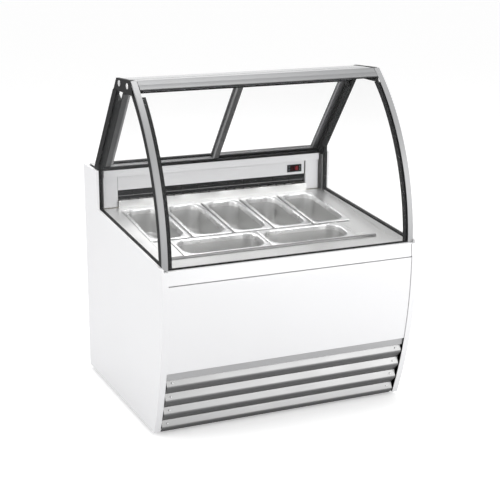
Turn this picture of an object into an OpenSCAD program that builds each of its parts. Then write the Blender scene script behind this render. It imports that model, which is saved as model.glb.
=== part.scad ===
// Glass-topped ice cream display freezer with seven scooping pans.
// X runs along the front (+X to the customer's right), the front faces -Y, +Z is up.
// The origin is on the floor, in the middle of the cabinet. Sizes are in millimetres.

/* [Cabinet] */
// Width over the side panels
cabinet_w = 1050; // [1000:10:1400]
// Depth from the front bulge to the rear face
cabinet_d = 920; // [880:10:1200]
// Height of the side panels at the rear
rear_h = 894; // [860:1:950]
// Height of the side panels just in front of their step
step_h = 736; // [715:1:780]
// Height of the side panels at the front
front_h = 678; // [660:1:700]
// Distance from the rear face to the step in the side panels
step_back = 175; // [165:1:185]
// Height at which the front bulges furthest forward
bulge_h = 605; // [560:1:630]
// How far the front curves back at the bottom
toe_back = 115; // [60:1:160]
// How far the front leans back at its top edge
top_back = 8; // [4:1:12]
// Gap between the floor and the panels
floor_gap = 15; // [15:1:40]

/* [Skins] */
// Thickness of the side panels
panel_t = 25; // [22:1:32]
// Thickness of the outer lip that stands up past the glass seal
lip_t = 10; // [8:1:12]
// Sheet thickness of the painted skins
skin_t = 2; // [1.5:0.5:4]
// Depth of the returned edges of the front skins
return_d = 18; // [12:1:24]
// How far the front skins sit behind the side panels' front edges
skin_inset = 3; // [2:1:8]
// Top edge of the painted fascia
fascia_top_h = 667; // [655:1:670]
// Bottom edge of the painted fascia
fascia_bottom_h = 615; // [606:1:630]
// Groove between fascia and front panel
groove = 4; // [3:1:8]
// Bottom edge of the front panel
panel_bottom_h = 271; // [262:1:330]

/* [Grille] */
// Bottom edge of the flat steel trim above the slats
trim_bottom_h = 242; // [230:1:255]
// Number of slats
slat_count = 4; // [3:1:4]
// Height of one slat
slat_pitch = 60.5; // [52:0.5:64]
// Depth of the valleys between slats, behind the panels' front edges
slat_depth = 19; // [16:1:26]
// Radius of the nose of a slat
slat_nose_r = 13; // [9:1:15]
// Lowest edge of the slats above the floor
slat_bottom_h = 10; // [8:1:20]

/* [Pans] */
// Width of a pan over its rim
pan_w = 165; // [130:1:170]
// Length of a pan over its rim
pan_l = 360; // [330:1:365]
// Depth of a pan
pan_d = 120; // [80:1:150]
// Width of the flat rim
pan_rim = 13; // [12:1:18]
// Sheet thickness of the pans
pan_t = 1.2; // [0.8:0.1:2]
// Corner radius of the bowl
bowl_r = 52; // [30:1:55]
// Width of the rear row over its outer rims; the gaps between its pans follow from it
row_w = 862.6; // [860:0.1:880]
// Gap between the two rows
row_gap = 13; // [11:1:20]
// How far a rim rests on its support
rim_rest = 8; // [6:1:9]

/* [Deck] */
// Height of the rear row's front edge
deck_h = 681; // [670:1:690]
// Slope of the deck towards the customer, in degrees
deck_tilt = 6.76; // [5:0.1:8]
// Distance from the rear face to the rear row's front edge
row_back = 547; // [540:1:560]

/* [Superstructure] */
// Height of the front top corner of the end caps
cap_h = 1305; // [1250:1:1500]
// Height of the end caps
cap_size = 53; // [48:1:58]
// Distance from the front bulge to the foot of the curved glass
glass_set_back = 23.5; // [20:0.5:30]
// Bow of the curved glass over its chord
glass_bow = 76; // [66:1:92]
// Thickness of the curved glass
front_glass_t = 6; // [5:1:8]
// Thickness of the side glasses
side_glass_t = 6; // [5:1:6]
// Width of the metal strips along the curved glass
strip_w = 22; // [18:1:26]
// Width of the dark inner bands beside them
band_w = 18; // [14:1:24]
// Width of the black posts seen from the side
post_w = 36; // [33:1:38]
// Depth of the black curved posts behind the glass
curved_post_d = 27; // [20:1:30]

/* [Rear doors] */
// Thickness of a sliding door
door_t = 9; // [8:1:10]
// Width of the door stiles
stile_w = 30; // [24:1:36]
// Thickness of the door glass
door_glass_t = 4; // [3:1:5]

/* [Feet] */
// Radius of a foot's disc
foot_r = 24; // [18:1:28]
// Radius of the foot's spindle
spindle_r = 5; // [4:0.5:6]

/* [Hidden] */

// Fineness of large arcs and of ordinary round parts
arc_fn = 256;
round_fn = 72;
// Clearances: running fit of pins, gap to moving pieces, overlap used only to cut cleanly
pin_fit = 0.05;
move_gap = 0.5;
cut = 1;

// Colours
white = [0.95, 0.95, 0.95];
steel = [0.72, 0.72, 0.71];
dark_steel = [0.55, 0.56, 0.57];
alu = [0.80, 0.81, 0.82];
black = [0.07, 0.07, 0.075];
dark_grey = [0.25, 0.25, 0.26];
clear = [0.85, 0.92, 0.92, 0.25];
foam_colour = [0.92, 0.85, 0.60];
copper = [0.72, 0.45, 0.28];

// Cabinet outline
half_w = cabinet_w / 2;
inner_x = half_w - panel_t;
seal_x = half_w - lip_t;
front_y = -cabinet_d / 2;
rear_y = cabinet_d / 2;
step_y = rear_y - step_back;
rebate = 14;
top_y = front_y + top_back;
top_slope = (step_h - front_h) / (step_y - top_y);
front_rise = bulge_h - floor_gap;
toe_r = (front_rise * front_rise + toe_back * toe_back) / (2 * toe_back);
toe_cy = front_y + toe_r;

// y of the front outline, moved back by an inset, at a height below the bulge
function toe_y(z, inset = 0) = toe_cy - sqrt(pow(toe_r - inset, 2) - pow(bulge_h - z, 2));

// Deck frame of reference: its local origin is the middle of the rear row's front edge
row_y = rear_y - row_back;
rear_pans = 5;
pan_gap = (row_w - rear_pans * pan_w) / (rear_pans - 1);
front_row_y = -row_gap - pan_w;
deck_rear = 400;
deck_front = front_row_y - 17;
sheet = 1.5;
rim_h = 4;
front_pan_gap = 3;
tank_half_w = row_w / 2 + 6;
tank_depth = pan_d + 60;
wall = 48;

// Points of the deck plane in the cabinet's frame
function deck_y(y) = row_y + y * cos(deck_tilt);
function deck_z(y) = deck_h + y * sin(deck_tilt);

// Rear sloping line, from the ledge up to the end caps
lean_foot_y = rear_y - 120;
lean_foot_z = rear_h + 14;
cap_rear_drop = 9;
lean_top_y = rear_y - 420;
lean_top_z = cap_h - cap_rear_drop;
lean_run = lean_foot_y - lean_top_y;
lean_rise = lean_top_z - lean_foot_z;
lean = atan(lean_run / lean_rise);
cap_bottom_z = cap_h - cap_size - 2;
function lean_y(z, d = 0) = lean_foot_y - d / cos(lean) - (z - lean_foot_z) * tan(lean);
door_track_h = 14;
door_top = (cap_bottom_z + 2 - lean_foot_z) / cos(lean) + 11;
post_x = inner_x - 18;
track_pitch = 14;
track_edge = 5;

// Curved glass: an arc of given bow between its foot and the top corner of the caps
cap_front_y = lean_top_y - 168;
foot_y = front_y + glass_set_back;
foot_z = fascia_top_h + move_gap;
glass_top_y = cap_front_y - 10;
chord_y = glass_top_y - foot_y;
chord_z = cap_h - 1 - foot_z;
chord = sqrt(chord_y * chord_y + chord_z * chord_z);
glass_r = (chord * chord / 4 + glass_bow * glass_bow) / (2 * glass_bow);
glass_cy = (foot_y + glass_top_y) / 2 + (glass_r - glass_bow) * chord_z / chord;
glass_cz = (foot_z + cap_h - 1) / 2 - (glass_r - glass_bow) * chord_y / chord;
function glass_y(z, inset = 0) = glass_cy - sqrt(pow(glass_r - inset, 2) - pow(z - glass_cz, 2));
strip_t = 2.5;
band_t = 2.5;
glass_out = strip_t;
glass_in = glass_out + front_glass_t;
band_in = glass_in + band_t;
post_out = band_in + move_gap;
post_in = post_out + curved_post_d;
seal_h = 5;

// Hinge of the curved glass
hinge_y = lean_top_y - 126;
hinge_z = cap_h - 25.5;
hinge_r = 22;
hinge_pin_r = 7;
rail_screw_y = lean_top_y - 38;
rail_front_y = hinge_y + hinge_r + 3;
cap_t = 12;
clamp_z = hinge_z + 8;
profile_low = clamp_z - 14;
top_seal_h = 3;

// Console at the rear of the deck
console_y = rear_y - 151;
console_top = lean_foot_z - post_w * sin(lean) - 0.3;
lip_h = 29;
lip_d = 13;
pillar_in = 98;
pillar_w = 60;
console_half_w = half_w - pillar_in + pillar_w;
slot_half_w = half_w - pillar_in;
slot_top = console_top - 88;
slot_bottom = slot_top - 36;
panel_face_y = console_y + lip_d + 2;
pillar_face_y = console_y + 8;
ledge_y = console_y + lip_d + 4;

// Controller
ctrl_w = 67;
ctrl_h = 32;
ctrl_d = 40;
ctrl_x = slot_half_w - 18 - ctrl_w / 2;
ctrl_z = (slot_top + console_top - lip_h) / 2 - 2;
key_w = 6;
key_h = 6;
key_x = ctrl_w / 2 - 8;
key_z = 6.5;
bezel = 3;

// Machine room
base_z = floor_gap + 6;
base_t = 3;
foot_x = half_w - 70;
foot_front = front_y + toe_back + 75;
foot_rear = rear_y - 70;
room_top = deck_z(front_row_y - 60) - (tank_depth + wall) * cos(deck_tilt) - 10;
fan_x = -30;
fan_y = -196;
fan_z = 200;
fan_r = 105;
axle_r = 4;

// ---------- helpers ----------

// Extrude a (y, z) outline along X between two x values
module between_x(x0, x1)
    translate([x0, 0, 0]) rotate([90, 0, 90]) linear_extrude(x1 - x0) children();

// Place children in the deck's sloping frame
module on_deck() translate([0, row_y, deck_h]) rotate([deck_tilt, 0, 0]) children();

// Place children in the sloping frame of the rear doors
module on_lean() translate([0, lean_foot_y, lean_foot_z]) rotate([lean, 0, 0]) children();

// Mirror to the left when side is -1
module on_side(side) mirror([side < 0 ? 1 : 0, 0, 0]) children();

module rounded_rect(l, w, r)
    difference() {
        translate([-l / 2, -w / 2]) square([l, w]);
        for (sx = [-1, 1], sy = [-1, 1])
            translate([sx * l / 2, sy * w / 2]) difference() {
                translate([-r, -r]) square(2 * r);
                translate([-sx * r, -sy * r]) circle(r = r, $fn = round_fn);
                translate([sx > 0 ? -2 * r : r, -2 * r]) square([cut, 4 * r]);
            }
    }

// Region behind the front outline, up to a height
module behind_front(inset, top) {
    difference() {
        polygon([[front_y - 60, floor_gap - 60], [rear_y, floor_gap - 60], [rear_y, top],
                 [front_y + inset + (top - bulge_h) * top_back / (front_h - bulge_h), top],
                 [front_y + inset, bulge_h], [front_y - 60, bulge_h - 200]]);
        difference() {
            translate([front_y - 80, floor_gap - 80])
                square([toe_back * 2 + 80, bulge_h - floor_gap + 80]);
            translate([toe_cy, bulge_h]) circle(r = toe_r - inset, $fn = arc_fn);
        }
    }
}

// Band of the front skins between two heights, of a given depth behind the inset
module front_band(z0, z1, inset, depth)
    intersection() {
        difference() {
            behind_front(inset, front_h);
            behind_front(inset + depth, front_h + cut);
        }
        translate([front_y - 100, z0]) square([cabinet_d, z1 - z0]);
    }

// Outline of a side panel; drop lowers its upper edges, inset shrinks it all round
module side_outline(drop, inset)
    intersection() {
        behind_front(inset, rear_h);
        polygon([[front_y - 100, floor_gap + inset], [rear_y - inset, floor_gap + inset],
                 [rear_y - inset, rear_h - drop - inset],
                 [step_y + drop + inset, rear_h - drop - inset],
                 [step_y + drop + inset, step_h - drop - inset + top_slope * (drop + inset)],
                 [front_y - 100, front_h - drop - inset - top_slope * (100 + top_back)]]);
    }

// Band of the curved glass between two insets from its outer face and two heights
module glass_band(in0, in1, z0, z1)
    intersection() {
        difference() {
            translate([glass_cy, glass_cz]) circle(r = glass_r - in0, $fn = arc_fn);
            translate([glass_cy, glass_cz]) circle(r = glass_r - in1, $fn = arc_fn);
        }
        translate([glass_cy - glass_r - 10, z0]) square([glass_r, z1 - z0]);
    }

// ---------- cabinet shell ----------

module side_panel(side)
    color(white) on_side(side) difference() {
        union() {
            between_x(seal_x, half_w) side_outline(0, 0);
            between_x(inner_x, seal_x + cut / 10) side_outline(rebate, 0);
        }
        between_x(inner_x - cut, half_w - skin_t) side_outline(rebate, skin_t + 1);
    }

module front_fascia()
    color(white) between_x(-inner_x, inner_x) difference() {
        front_band(fascia_bottom_h, fascia_top_h, skin_inset, return_d);
        front_band(fascia_bottom_h + skin_t, fascia_top_h - skin_t, skin_inset + skin_t,
                   return_d + cut);
    }

module front_panel()
    color(white) between_x(-inner_x, inner_x) difference() {
        front_band(panel_bottom_h, fascia_bottom_h - groove, skin_inset, return_d);
        front_band(panel_bottom_h + skin_t, fascia_bottom_h - groove - skin_t,
                   skin_inset + skin_t, return_d + cut);
    }

module grille_trim()
    color(steel) between_x(-inner_x, inner_x) difference() {
        front_band(trim_bottom_h, panel_bottom_h - 1, skin_inset + 5, return_d);
        front_band(trim_bottom_h + sheet, panel_bottom_h - 1 - sheet,
                   skin_inset + 5 + sheet, return_d + cut);
    }

// Slat outline: two flat faces that run into a round nose
module slat_outline(top, r, back) {
    bottom = top - slat_pitch;
    nose_z = top - slat_pitch * 0.44;
    nose_y = toe_y(nose_z) + 2 + slat_nose_r;
    pt = [toe_y(top) + slat_depth, top - 0.5];
    pb = [toe_y(bottom) + slat_depth, bottom + 0.5];
    c = [nose_y, nose_z];
    // tangent points from the valley points to the nose circle
    ft = c + r * tangent_dir(pt - c, r, 1);
    fb = c + r * tangent_dir(pb - c, r, -1);
    polygon([pt, ft, c + [0.2 * r, 0], fb, pb, pb + [back, 0], pt + [back, 0]]);
    translate(c) circle(r = r, $fn = round_fn);
}

// Unit direction from a circle's centre to the tangent point seen from offset p
function tangent_dir(p, r, side) =
    let (a = atan2(p[1], p[0]) + side * acos(r / norm(p))) [cos(a), sin(a)];

module grille_slats()
    color(steel)
        for (i = [0 : slat_count - 1])
            between_x(-inner_x + 5, inner_x - 5) intersection() {
                difference() {
                    slat_outline(trim_bottom_h - i * slat_pitch, slat_nose_r, 12);
                    translate([sheet + 0.6, 0])
                        slat_outline(trim_bottom_h - i * slat_pitch, slat_nose_r - sheet, 14);
                }
                translate([front_y - 50, slat_bottom_h]) square([cabinet_d, rear_h]);
            }

module grille_screws()
    color(steel)
        for (side = [-1, 1], i = [0 : slat_count - 1]) {
            z = trim_bottom_h - (i + 0.24) * slat_pitch;
            y = toe_y(trim_bottom_h - (i + 0.44) * slat_pitch) + 2;
            translate([side * (inner_x - 28), y + 5, z]) rotate([62, 0, 0])
                cylinder(r = 3.4, h = 4, $fn = round_fn);
        }

module chassis_base()
    color(dark_steel) difference() {
        union() {
            translate([-inner_x, front_y + toe_back + 30, base_z])
                cube([2 * inner_x, cabinet_d - toe_back - 34, base_t]);
            // upright rims at the sides and the rear
            for (side = [-1, 1])
                translate([side > 0 ? inner_x - base_t : -inner_x, front_y + toe_back + 30, base_z])
                    cube([base_t, cabinet_d - toe_back - 34, 32]);
            // threaded bosses for the feet
            for (x = [-foot_x, foot_x], y = [foot_front, foot_rear])
                translate([x, y, base_z]) cylinder(r = 13, h = 26, $fn = 6);
            // uprights that carry the tank and the grille
            for (side = [-1, 1], y = [front_y + toe_back + 30, rear_y - 40])
                translate([side > 0 ? inner_x - 30 : -inner_x, y, base_z])
                    cube([30, 30, room_top - base_z]);
        }
        for (x = [-foot_x, foot_x], y = [foot_front, foot_rear])
            translate([x, y, base_z - cut])
                cylinder(r = spindle_r + pin_fit, h = 26 + 2 * cut, $fn = round_fn);
    }

module rear_service_panel()
    color(dark_steel) difference() {
        translate([-inner_x, rear_y - 3, base_z + base_t + 4])
            cube([2 * inner_x, sheet, room_top - base_z - base_t - 8]);
        for (x = [-inner_x * 0.5, inner_x * 0.35], i = [0 : 9])
            translate([x - 140, rear_y - 5, 100 + i * 26]) cube([280, 5, 7]);
        translate([box_x, rear_y - 5, box_z]) rotate([-90, 0, 0])
            cylinder(r = gland_r + 0.4, h = 6, $fn = round_fn);
    }

module rear_upper_panel()
    color(white)
        translate([-inner_x, rear_y - 3, room_top])
            cube([2 * inner_x, skin_t, rear_h - room_top - skin_t - 2]);

module rear_ledge()
    color(steel) between_x(-inner_x, inner_x)
        polygon([[ledge_y, console_top], [lean_y(console_top) - post_w * cos(lean), console_top],
                 [lean_foot_y - 2, lean_foot_z - 2], [lean_foot_y + 14, rear_h],
                 [rear_y - 1, rear_h], [rear_y - 1, rear_h - skin_t],
                 [lean_foot_y + 12, rear_h - skin_t], [lean_foot_y + 10, console_top - skin_t],
                 [ledge_y, console_top - skin_t]]);

module insulation_foam()
    color(foam_colour) on_deck() difference() {
        translate([-inner_x + 3, front_row_y - 60, -tank_depth - wall])
            cube([2 * (inner_x - 3), pan_l - front_row_y + 116, tank_depth + wall - 4]);
        translate([-tank_half_w - sheet, front_row_y - 12 - sheet, -tank_depth - sheet])
            cube([2 * (tank_half_w + sheet), pan_l - front_row_y + 24 + 2 * sheet,
                  tank_depth + 2 * sheet]);
    }

module liner_tank()
    color(steel) on_deck() difference() {
        translate([-tank_half_w - sheet, front_row_y - 12 - sheet, -tank_depth - sheet])
            cube([2 * (tank_half_w + sheet), pan_l - front_row_y + 24 + 2 * sheet, tank_depth]);
        translate([-tank_half_w, front_row_y - 12, -tank_depth])
            cube([2 * tank_half_w, pan_l - front_row_y + 24, tank_depth + cut]);
        // drain hole in the floor of the tank
        translate([tank_half_w - 60, front_row_y + 30, -tank_depth - 2 * sheet])
            cylinder(r = 12, h = 3 * sheet, $fn = round_fn);
    }

// ---------- deck ----------

module deck_frame()
    color(steel) {
        on_deck() difference() {
            union() {
                translate([-inner_x, deck_front, -sheet])
                    cube([2 * inner_x, deck_rear - deck_front, sheet]);
                // upstand below the air slot
                translate([-slot_half_w, deck_rear - sheet, -sheet])
                    cube([2 * slot_half_w, sheet, slot_bottom - deck_z(deck_rear) - 1]);
            }
            translate([-row_w / 2 + rim_rest, front_row_y + rim_rest, -2 * cut - sheet])
                cube([row_w - 2 * rim_rest, pan_l - front_row_y - 2 * rim_rest, 10]);
        }
        // sill between the deck and the foot of the curved glass
        sill_y = deck_y(deck_front);
        sill_z = deck_z(deck_front);
        between_x(-inner_x, inner_x)
            polygon([[sill_y, sill_z], [foot_y + 14, fascia_top_h - 2],
                     [foot_y + 14, fascia_top_h - 14], [foot_y + 14 + sheet, fascia_top_h - 14],
                     [foot_y + 14 + sheet, fascia_top_h - 2 - sheet],
                     [sill_y, sill_z - sheet]]);
    }

module pan_bars()
    color(steel) on_deck() {
        h = 11;
        w = row_gap + 2 * rim_rest;
        difference() {
            union() {
                // long bar between the rows
                translate([-row_w / 2 + rim_rest, -row_gap - rim_rest, -h])
                    cube([row_w - 2 * rim_rest, w, h]);
                for (i = [1 : rear_pans - 1])
                    translate([rear_x(i) - pan_w / 2 - pan_gap - rim_rest, -rim_rest, -h])
                        cube([pan_gap + 2 * rim_rest, pan_l, h]);
                translate([-front_pan_gap / 2 - rim_rest, front_row_y + rim_rest, -h])
                    cube([front_pan_gap + 2 * rim_rest, pan_w, h]);
                // bars under the joints between front pans and filler plates
                for (side = [-1, 1])
                    translate([side * (pan_l + front_pan_gap) - rim_rest - 1,
                               front_row_y + rim_rest, -h])
                        cube([2 * rim_rest + 2, pan_w, h]);
            }
            // the bars are folded channels, open below
            translate([-row_w / 2 + rim_rest + 2, -row_gap - rim_rest + sheet, -h - cut])
                cube([row_w - 2 * rim_rest - 4, w - 2 * sheet, h - sheet + cut]);
        }
    }

module filler_plates()
    color(steel) on_deck()
        for (side = [-1, 1]) {
            x0 = pan_l + 1.5 * front_pan_gap;
            w = row_w / 2 - x0;
            translate([side > 0 ? x0 : -x0 - w, front_row_y, 0]) {
                cube([w, pan_w, sheet]);
                translate([w * 0.2, pan_w * 0.18, sheet]) cube([w * 0.6, pan_w * 0.64, 2]);
            }
        }

module front_rail()
    color(steel) on_deck()
        translate([0, deck_front + 3, 0])
            between_x(-row_w / 2 - 12, row_w / 2 + 12)
                polygon([[0, 0], [11, 0], [11, 6], [8, 9], [3, 9], [0, 6]]);

// ---------- console ----------

module console_housing()
    color(white) difference() {
        union() {
            // overhanging lip and top
            translate([-console_half_w, console_y, console_top - lip_h])
                cube([2 * console_half_w, lip_d + 4, lip_h]);
            // recessed front panel
            translate([-slot_half_w - 2, panel_face_y, slot_top])
                cube([2 * slot_half_w + 4, skin_t, console_top - lip_h - slot_top + 4]);
            // pillars
            for (side = [-1, 1])
                translate([side > 0 ? slot_half_w : -console_half_w, pillar_face_y,
                           deck_z(deck_rear) + 1.5])
                    cube([pillar_w, 24, console_top - lip_h - deck_z(deck_rear) - 1]);
        }
        // opening for the controller
        translate([ctrl_x - ctrl_w / 2 + bezel, panel_face_y - cut, ctrl_z - ctrl_h / 2 + bezel])
            cube([ctrl_w - 2 * bezel, 2 * skin_t + cut, ctrl_h - 2 * bezel]);
        // the lip and the pillars are folded sheet, open behind
        translate([-console_half_w + skin_t, console_y + skin_t, console_top - lip_h + skin_t])
            cube([2 * (console_half_w - skin_t), lip_d + 10, lip_h - 2 * skin_t]);
        for (side = [-1, 1])
            translate([side > 0 ? slot_half_w + skin_t : -console_half_w + skin_t,
                       pillar_face_y + skin_t, 0])
                cube([pillar_w - 2 * skin_t, 30, console_top - lip_h - skin_t]);
    }

module controller()
    color(black) difference() {
        union() {
            translate([ctrl_x - ctrl_w / 2, panel_face_y - 4, ctrl_z - ctrl_h / 2])
                cube([ctrl_w, 4, ctrl_h]);
            translate([ctrl_x - ctrl_w / 2 + bezel + 0.4, panel_face_y - cut,
                       ctrl_z - ctrl_h / 2 + bezel + 0.4])
                cube([ctrl_w - 2 * bezel - 0.8, ctrl_d, ctrl_h - 2 * bezel - 0.8]);
        }
        for (i = [0 : 3])
            translate([key_cx(i) - key_w / 2 - 0.4, panel_face_y - 4 - cut,
                       key_cz(i) - key_h / 2 - 0.4])
                cube([key_w + 0.8, 4 + cut, key_h + 0.8]);
    }

function key_cx(i) = ctrl_x + (i % 2 == 0 ? -1 : 1) * key_x;
function key_cz(i) = ctrl_z + (i < 2 ? 1 : -1) * key_z;

module button(i)
    color(dark_grey)
        translate([key_cx(i) - key_w / 2, panel_face_y - 5, key_cz(i) - key_h / 2])
            cube([key_w, 3.5, key_h]);

module air_slot_grille()
    color(black) {
        y = panel_face_y + 6;
        translate([-slot_half_w, y, slot_bottom]) cube([2 * slot_half_w, 3, slot_top - slot_bottom]);
        for (i = [0 : 4])
            translate([-slot_half_w, y - 5, slot_bottom + 3 + i * (slot_top - slot_bottom - 8) / 4])
                cube([2 * slot_half_w, 5 + cut, 2]);
    }

module evaporator_coil()
    color(alu) {
        coil_y = panel_face_y + ctrl_d + 6;
        for (i = [0 : 20])
            translate([-slot_half_w + 30 + i * (2 * slot_half_w - 61) / 20, coil_y, slot_bottom - 30])
                cube([1, 70, 90]);
        for (j = [0 : 2], k = [0 : 3])
            translate([-slot_half_w + 20, coil_y + 14 + j * 21, slot_bottom - 18 + k * 22])
                rotate([0, 90, 0]) cylinder(r = 5, h = 2 * slot_half_w - 40, $fn = round_fn);
    }

// ---------- glass superstructure ----------

// Region of the side glazing out to the black frame's edges
module side_region_outer()
    intersection() {
        polygon([[front_y - 200, front_h - rebate - top_slope * (200 + top_back)],
                 [step_y + rebate, step_h - rebate + top_slope * rebate],
                 [step_y + rebate, rear_h - rebate], [lean_foot_y + 5, rear_h - rebate],
                 [lean_foot_y, lean_foot_z],
                 [lean_y(cap_bottom_z), cap_bottom_z], [front_y - 200, cap_bottom_z]]);
        translate([glass_cy, glass_cz]) circle(r = glass_r - post_out, $fn = arc_fn);
    }

module side_region_inner()
    intersection() {
        polygon([[front_y - 200, front_h - top_slope * (200 + top_back)],
                 [step_y, step_h], [step_y, lean_z(step_y)],
                 [lean_y(cap_bottom_z, post_w), cap_bottom_z], [front_y - 200, cap_bottom_z]]);
        translate([glass_cy, glass_cz]) circle(r = glass_r - post_in, $fn = arc_fn);
    }

// Height at which the inner line of the sloping post passes a given y
function lean_z(y) = lean_foot_z + (lean_foot_y - post_w / cos(lean) - y) / tan(lean);

module side_glass(side)
    color(clear) on_side(side)
        between_x(seal_x - 5 - side_glass_t, seal_x - 5)
            intersection() {
                side_region_inner();
                translate([-cabinet_d, 0]) square([2 * cabinet_d, cap_bottom_z]);
            }

module side_frame(side)
    color(black) on_side(side) {
        difference() {
            between_x(inner_x, seal_x - 0.5) difference() {
                side_region_outer();
                side_region_inner();
            }
            // room behind the lip of the side panel
            between_x(half_w, half_w + cut) side_region_outer();
        }
        // inner half of the sloping post
        difference() {
            on_lean() translate([post_x, -post_w, door_track_h])
                cube([inner_x - post_x, post_w, lean_rise]);
            translate([0, -cabinet_d, cap_bottom_z]) cube([cabinet_w, 2 * cabinet_d, cabinet_w]);
        }
        // inner half of the curved post
        between_x(half_w - lip_t - strip_w, inner_x)
            glass_band(post_out, post_in, fascia_top_h + 12, cap_bottom_z);
    }

module end_cap(side)
    color(black) on_side(side) difference() {
        between_x(inner_x, inner_x + cap_t)
            polygon([[lean_y(cap_bottom_z), cap_bottom_z], [lean_top_y, lean_top_z],
                     [cap_front_y, cap_h], [cap_front_y - 16, cap_bottom_z]]);
        translate([inner_x - cut, hinge_y, hinge_z]) rotate([0, 90, 0])
            cylinder(r = hinge_pin_r + pin_fit, h = cap_t + 2 * cut, $fn = round_fn);
        translate([inner_x - cut, rail_screw_y, hinge_z]) rotate([0, 90, 0])
            cylinder(r = 5, h = cap_t + 2 * cut, $fn = round_fn);
    }

module cap_fixings()
    color(alu)
        for (side = [-1, 1])
            on_side(side) translate([inner_x - 6, rail_screw_y, hinge_z]) rotate([0, 90, 0]) {
                cylinder(r = 4.9, h = cap_t + 6.5, $fn = round_fn);
                translate([0, 0, cap_t + 6]) cylinder(r = 11.5, h = 2.5, $fn = round_fn);
            }

module top_rail()
    color(alu) difference() {
        between_x(-inner_x, inner_x) difference() {
            rail_outline(0);
            rail_outline(3);
        }
        for (side = [-1, 1])
            on_side(side) translate([inner_x - 20, rail_screw_y, hinge_z]) rotate([0, 90, 0])
                cylinder(r = 5, h = 30, $fn = round_fn);
    }

module rail_outline(t)
    polygon([[rail_front_y + t, cap_bottom_z + 6 + t], [rail_front_y + t, cap_h - 5 - t],
             [lean_top_y - 3 - t, lean_top_z - 2 - t],
             [lean_y(cap_bottom_z + 6) - 3 - 2 * t, cap_bottom_z + 6 + t]]);

module light_strip()
    color("white")
        translate([-inner_x + 60, rail_front_y + 6, cap_bottom_z + 1])
            cube([2 * (inner_x - 60), 24, 5]);

// ---------- rear sliding doors ----------

module door_track()
    color(dark_grey) on_lean() {
        difference() {
            translate([-inner_x, -post_w, 0]) cube([2 * inner_x, post_w, door_track_h]);
            for (k = [0, 1])
                translate([-inner_x - cut, door_in(k) - 0.6, 5])
                    cube([2 * inner_x + 2 * cut, door_t + 1.2, door_track_h]);
        }
        // top guide under the rail
        difference() {
            translate([-post_x, -post_w, door_top - 12]) cube([2 * post_x, post_w - 4, 8]);
            for (k = [0, 1])
                translate([-post_x - cut, door_in(k) - 0.6, door_top - 13])
                    cube([2 * post_x + 2 * cut, door_t + 1.2, 10]);
        }
    }

// Inner face of a door's leaf: track 0 is the inner one, track 1 the outer one
function door_in(k) = -post_w + track_edge + k * track_pitch;
door_w = post_x + stile_w / 2 - 1;
door_base = 5.5;
door_h = door_top - 5.5 - door_base;
door_foot_w = stile_w * 0.5;
door_head_w = stile_w * 0.3;

// Left edge of a door: the left door runs on the inner track
function door_x(side) = side < 0 ? -post_x + 1 : -stile_w / 2;

module door_frame(side)
    color(dark_grey) on_lean() {
        k = side < 0 ? 0 : 1;
        translate([door_x(side), door_in(k), door_base]) {
            difference() {
                cube([door_w, door_t, door_h]);
                translate([stile_w, -cut, door_foot_w])
                    cube([door_w - 2 * stile_w, door_t + 2 * cut,
                          door_h - door_foot_w - door_head_w]);
            }
            // finger pull on the outer stile
            translate([side < 0 ? 8 : door_w - 22, door_t - 0.1, door_h * 0.42])
                cube([14, 2.6, 90]);
        }
    }

module door_glass(side)
    color(clear) on_lean() {
        k = side < 0 ? 0 : 1;
        translate([door_x(side) + stile_w, door_in(k) + (door_t - door_glass_t) / 2,
                   door_base + door_foot_w])
            cube([door_w - 2 * stile_w, door_glass_t, door_h - door_foot_w - door_head_w]);
    }

// ---------- lifting front glass ----------

module front_glass()
    color(clear)
        between_x(-seal_x + 3.5, seal_x - 3.5)
            glass_band(glass_out, glass_in, foot_z + seal_h, clamp_z);

module glass_edge_strips()
    color(alu)
        for (side = [-1, 1])
            on_side(side) {
                between_x(seal_x - strip_w, seal_x) glass_band(0, glass_out, foot_z, cap_h - 1);
                // flange over the edge of the glass
                between_x(seal_x - 3, seal_x)
                    glass_band(glass_out, glass_in, foot_z + seal_h, clamp_z);
            }

module glass_seals()
    color(black) {
        for (side = [-1, 1])
            on_side(side)
                between_x(seal_x - strip_w - band_w, seal_x - strip_w)
                    glass_band(glass_in, band_in, foot_z + seal_h, cap_bottom_z);
        between_x(-seal_x + 3.5, seal_x - 3.5)
            glass_band(glass_out, glass_in + 3, foot_z, foot_z + seal_h);
        // lip seal outside the glass, under the hinge profile
        between_x(-seal_x + strip_w, seal_x - strip_w)
            glass_band(1, glass_out, profile_low - 1 - top_seal_h, profile_low - 1);
    }

module glass_hinge_profile()
    color(alu) {
        difference() {
            between_x(-inner_x + 9, inner_x - 9) union() {
                translate([hinge_y, hinge_z]) circle(r = hinge_r, $fn = round_fn);
                polygon([[hinge_y, hinge_z + hinge_r - 0.5], [cap_front_y - 6, cap_h - 2],
                         [glass_y(profile_low) + 1, profile_low],
                         [glass_y(profile_low) + 16, profile_low - 4],
                         [hinge_y, hinge_z - hinge_r + 2]]);
            }
            // slot that holds the top edge of the glass
            between_x(-inner_x, inner_x)
                glass_band(glass_out - 0.05, glass_in + 0.05, foot_z, clamp_z + 0.05);
            between_x(inner_x - strip_w + 9, inner_x + cut)
                glass_band(-30, glass_out, foot_z, cap_h + 20);
            between_x(-inner_x - cut, -inner_x + strip_w - 9)
                glass_band(-30, glass_out, foot_z, cap_h + 20);
        }
        // pivot pins
        for (side = [-1, 1])
            on_side(side) translate([inner_x - 12, hinge_y, hinge_z]) rotate([0, 90, 0])
                cylinder(r = hinge_pin_r, h = cap_t + 13, $fn = round_fn);
    }

// ---------- pans ----------

// Centre of a pan in the rear row, counted from the left
function rear_x(i) = (i - (rear_pans - 1) / 2) * (pan_w + pan_gap);

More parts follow.
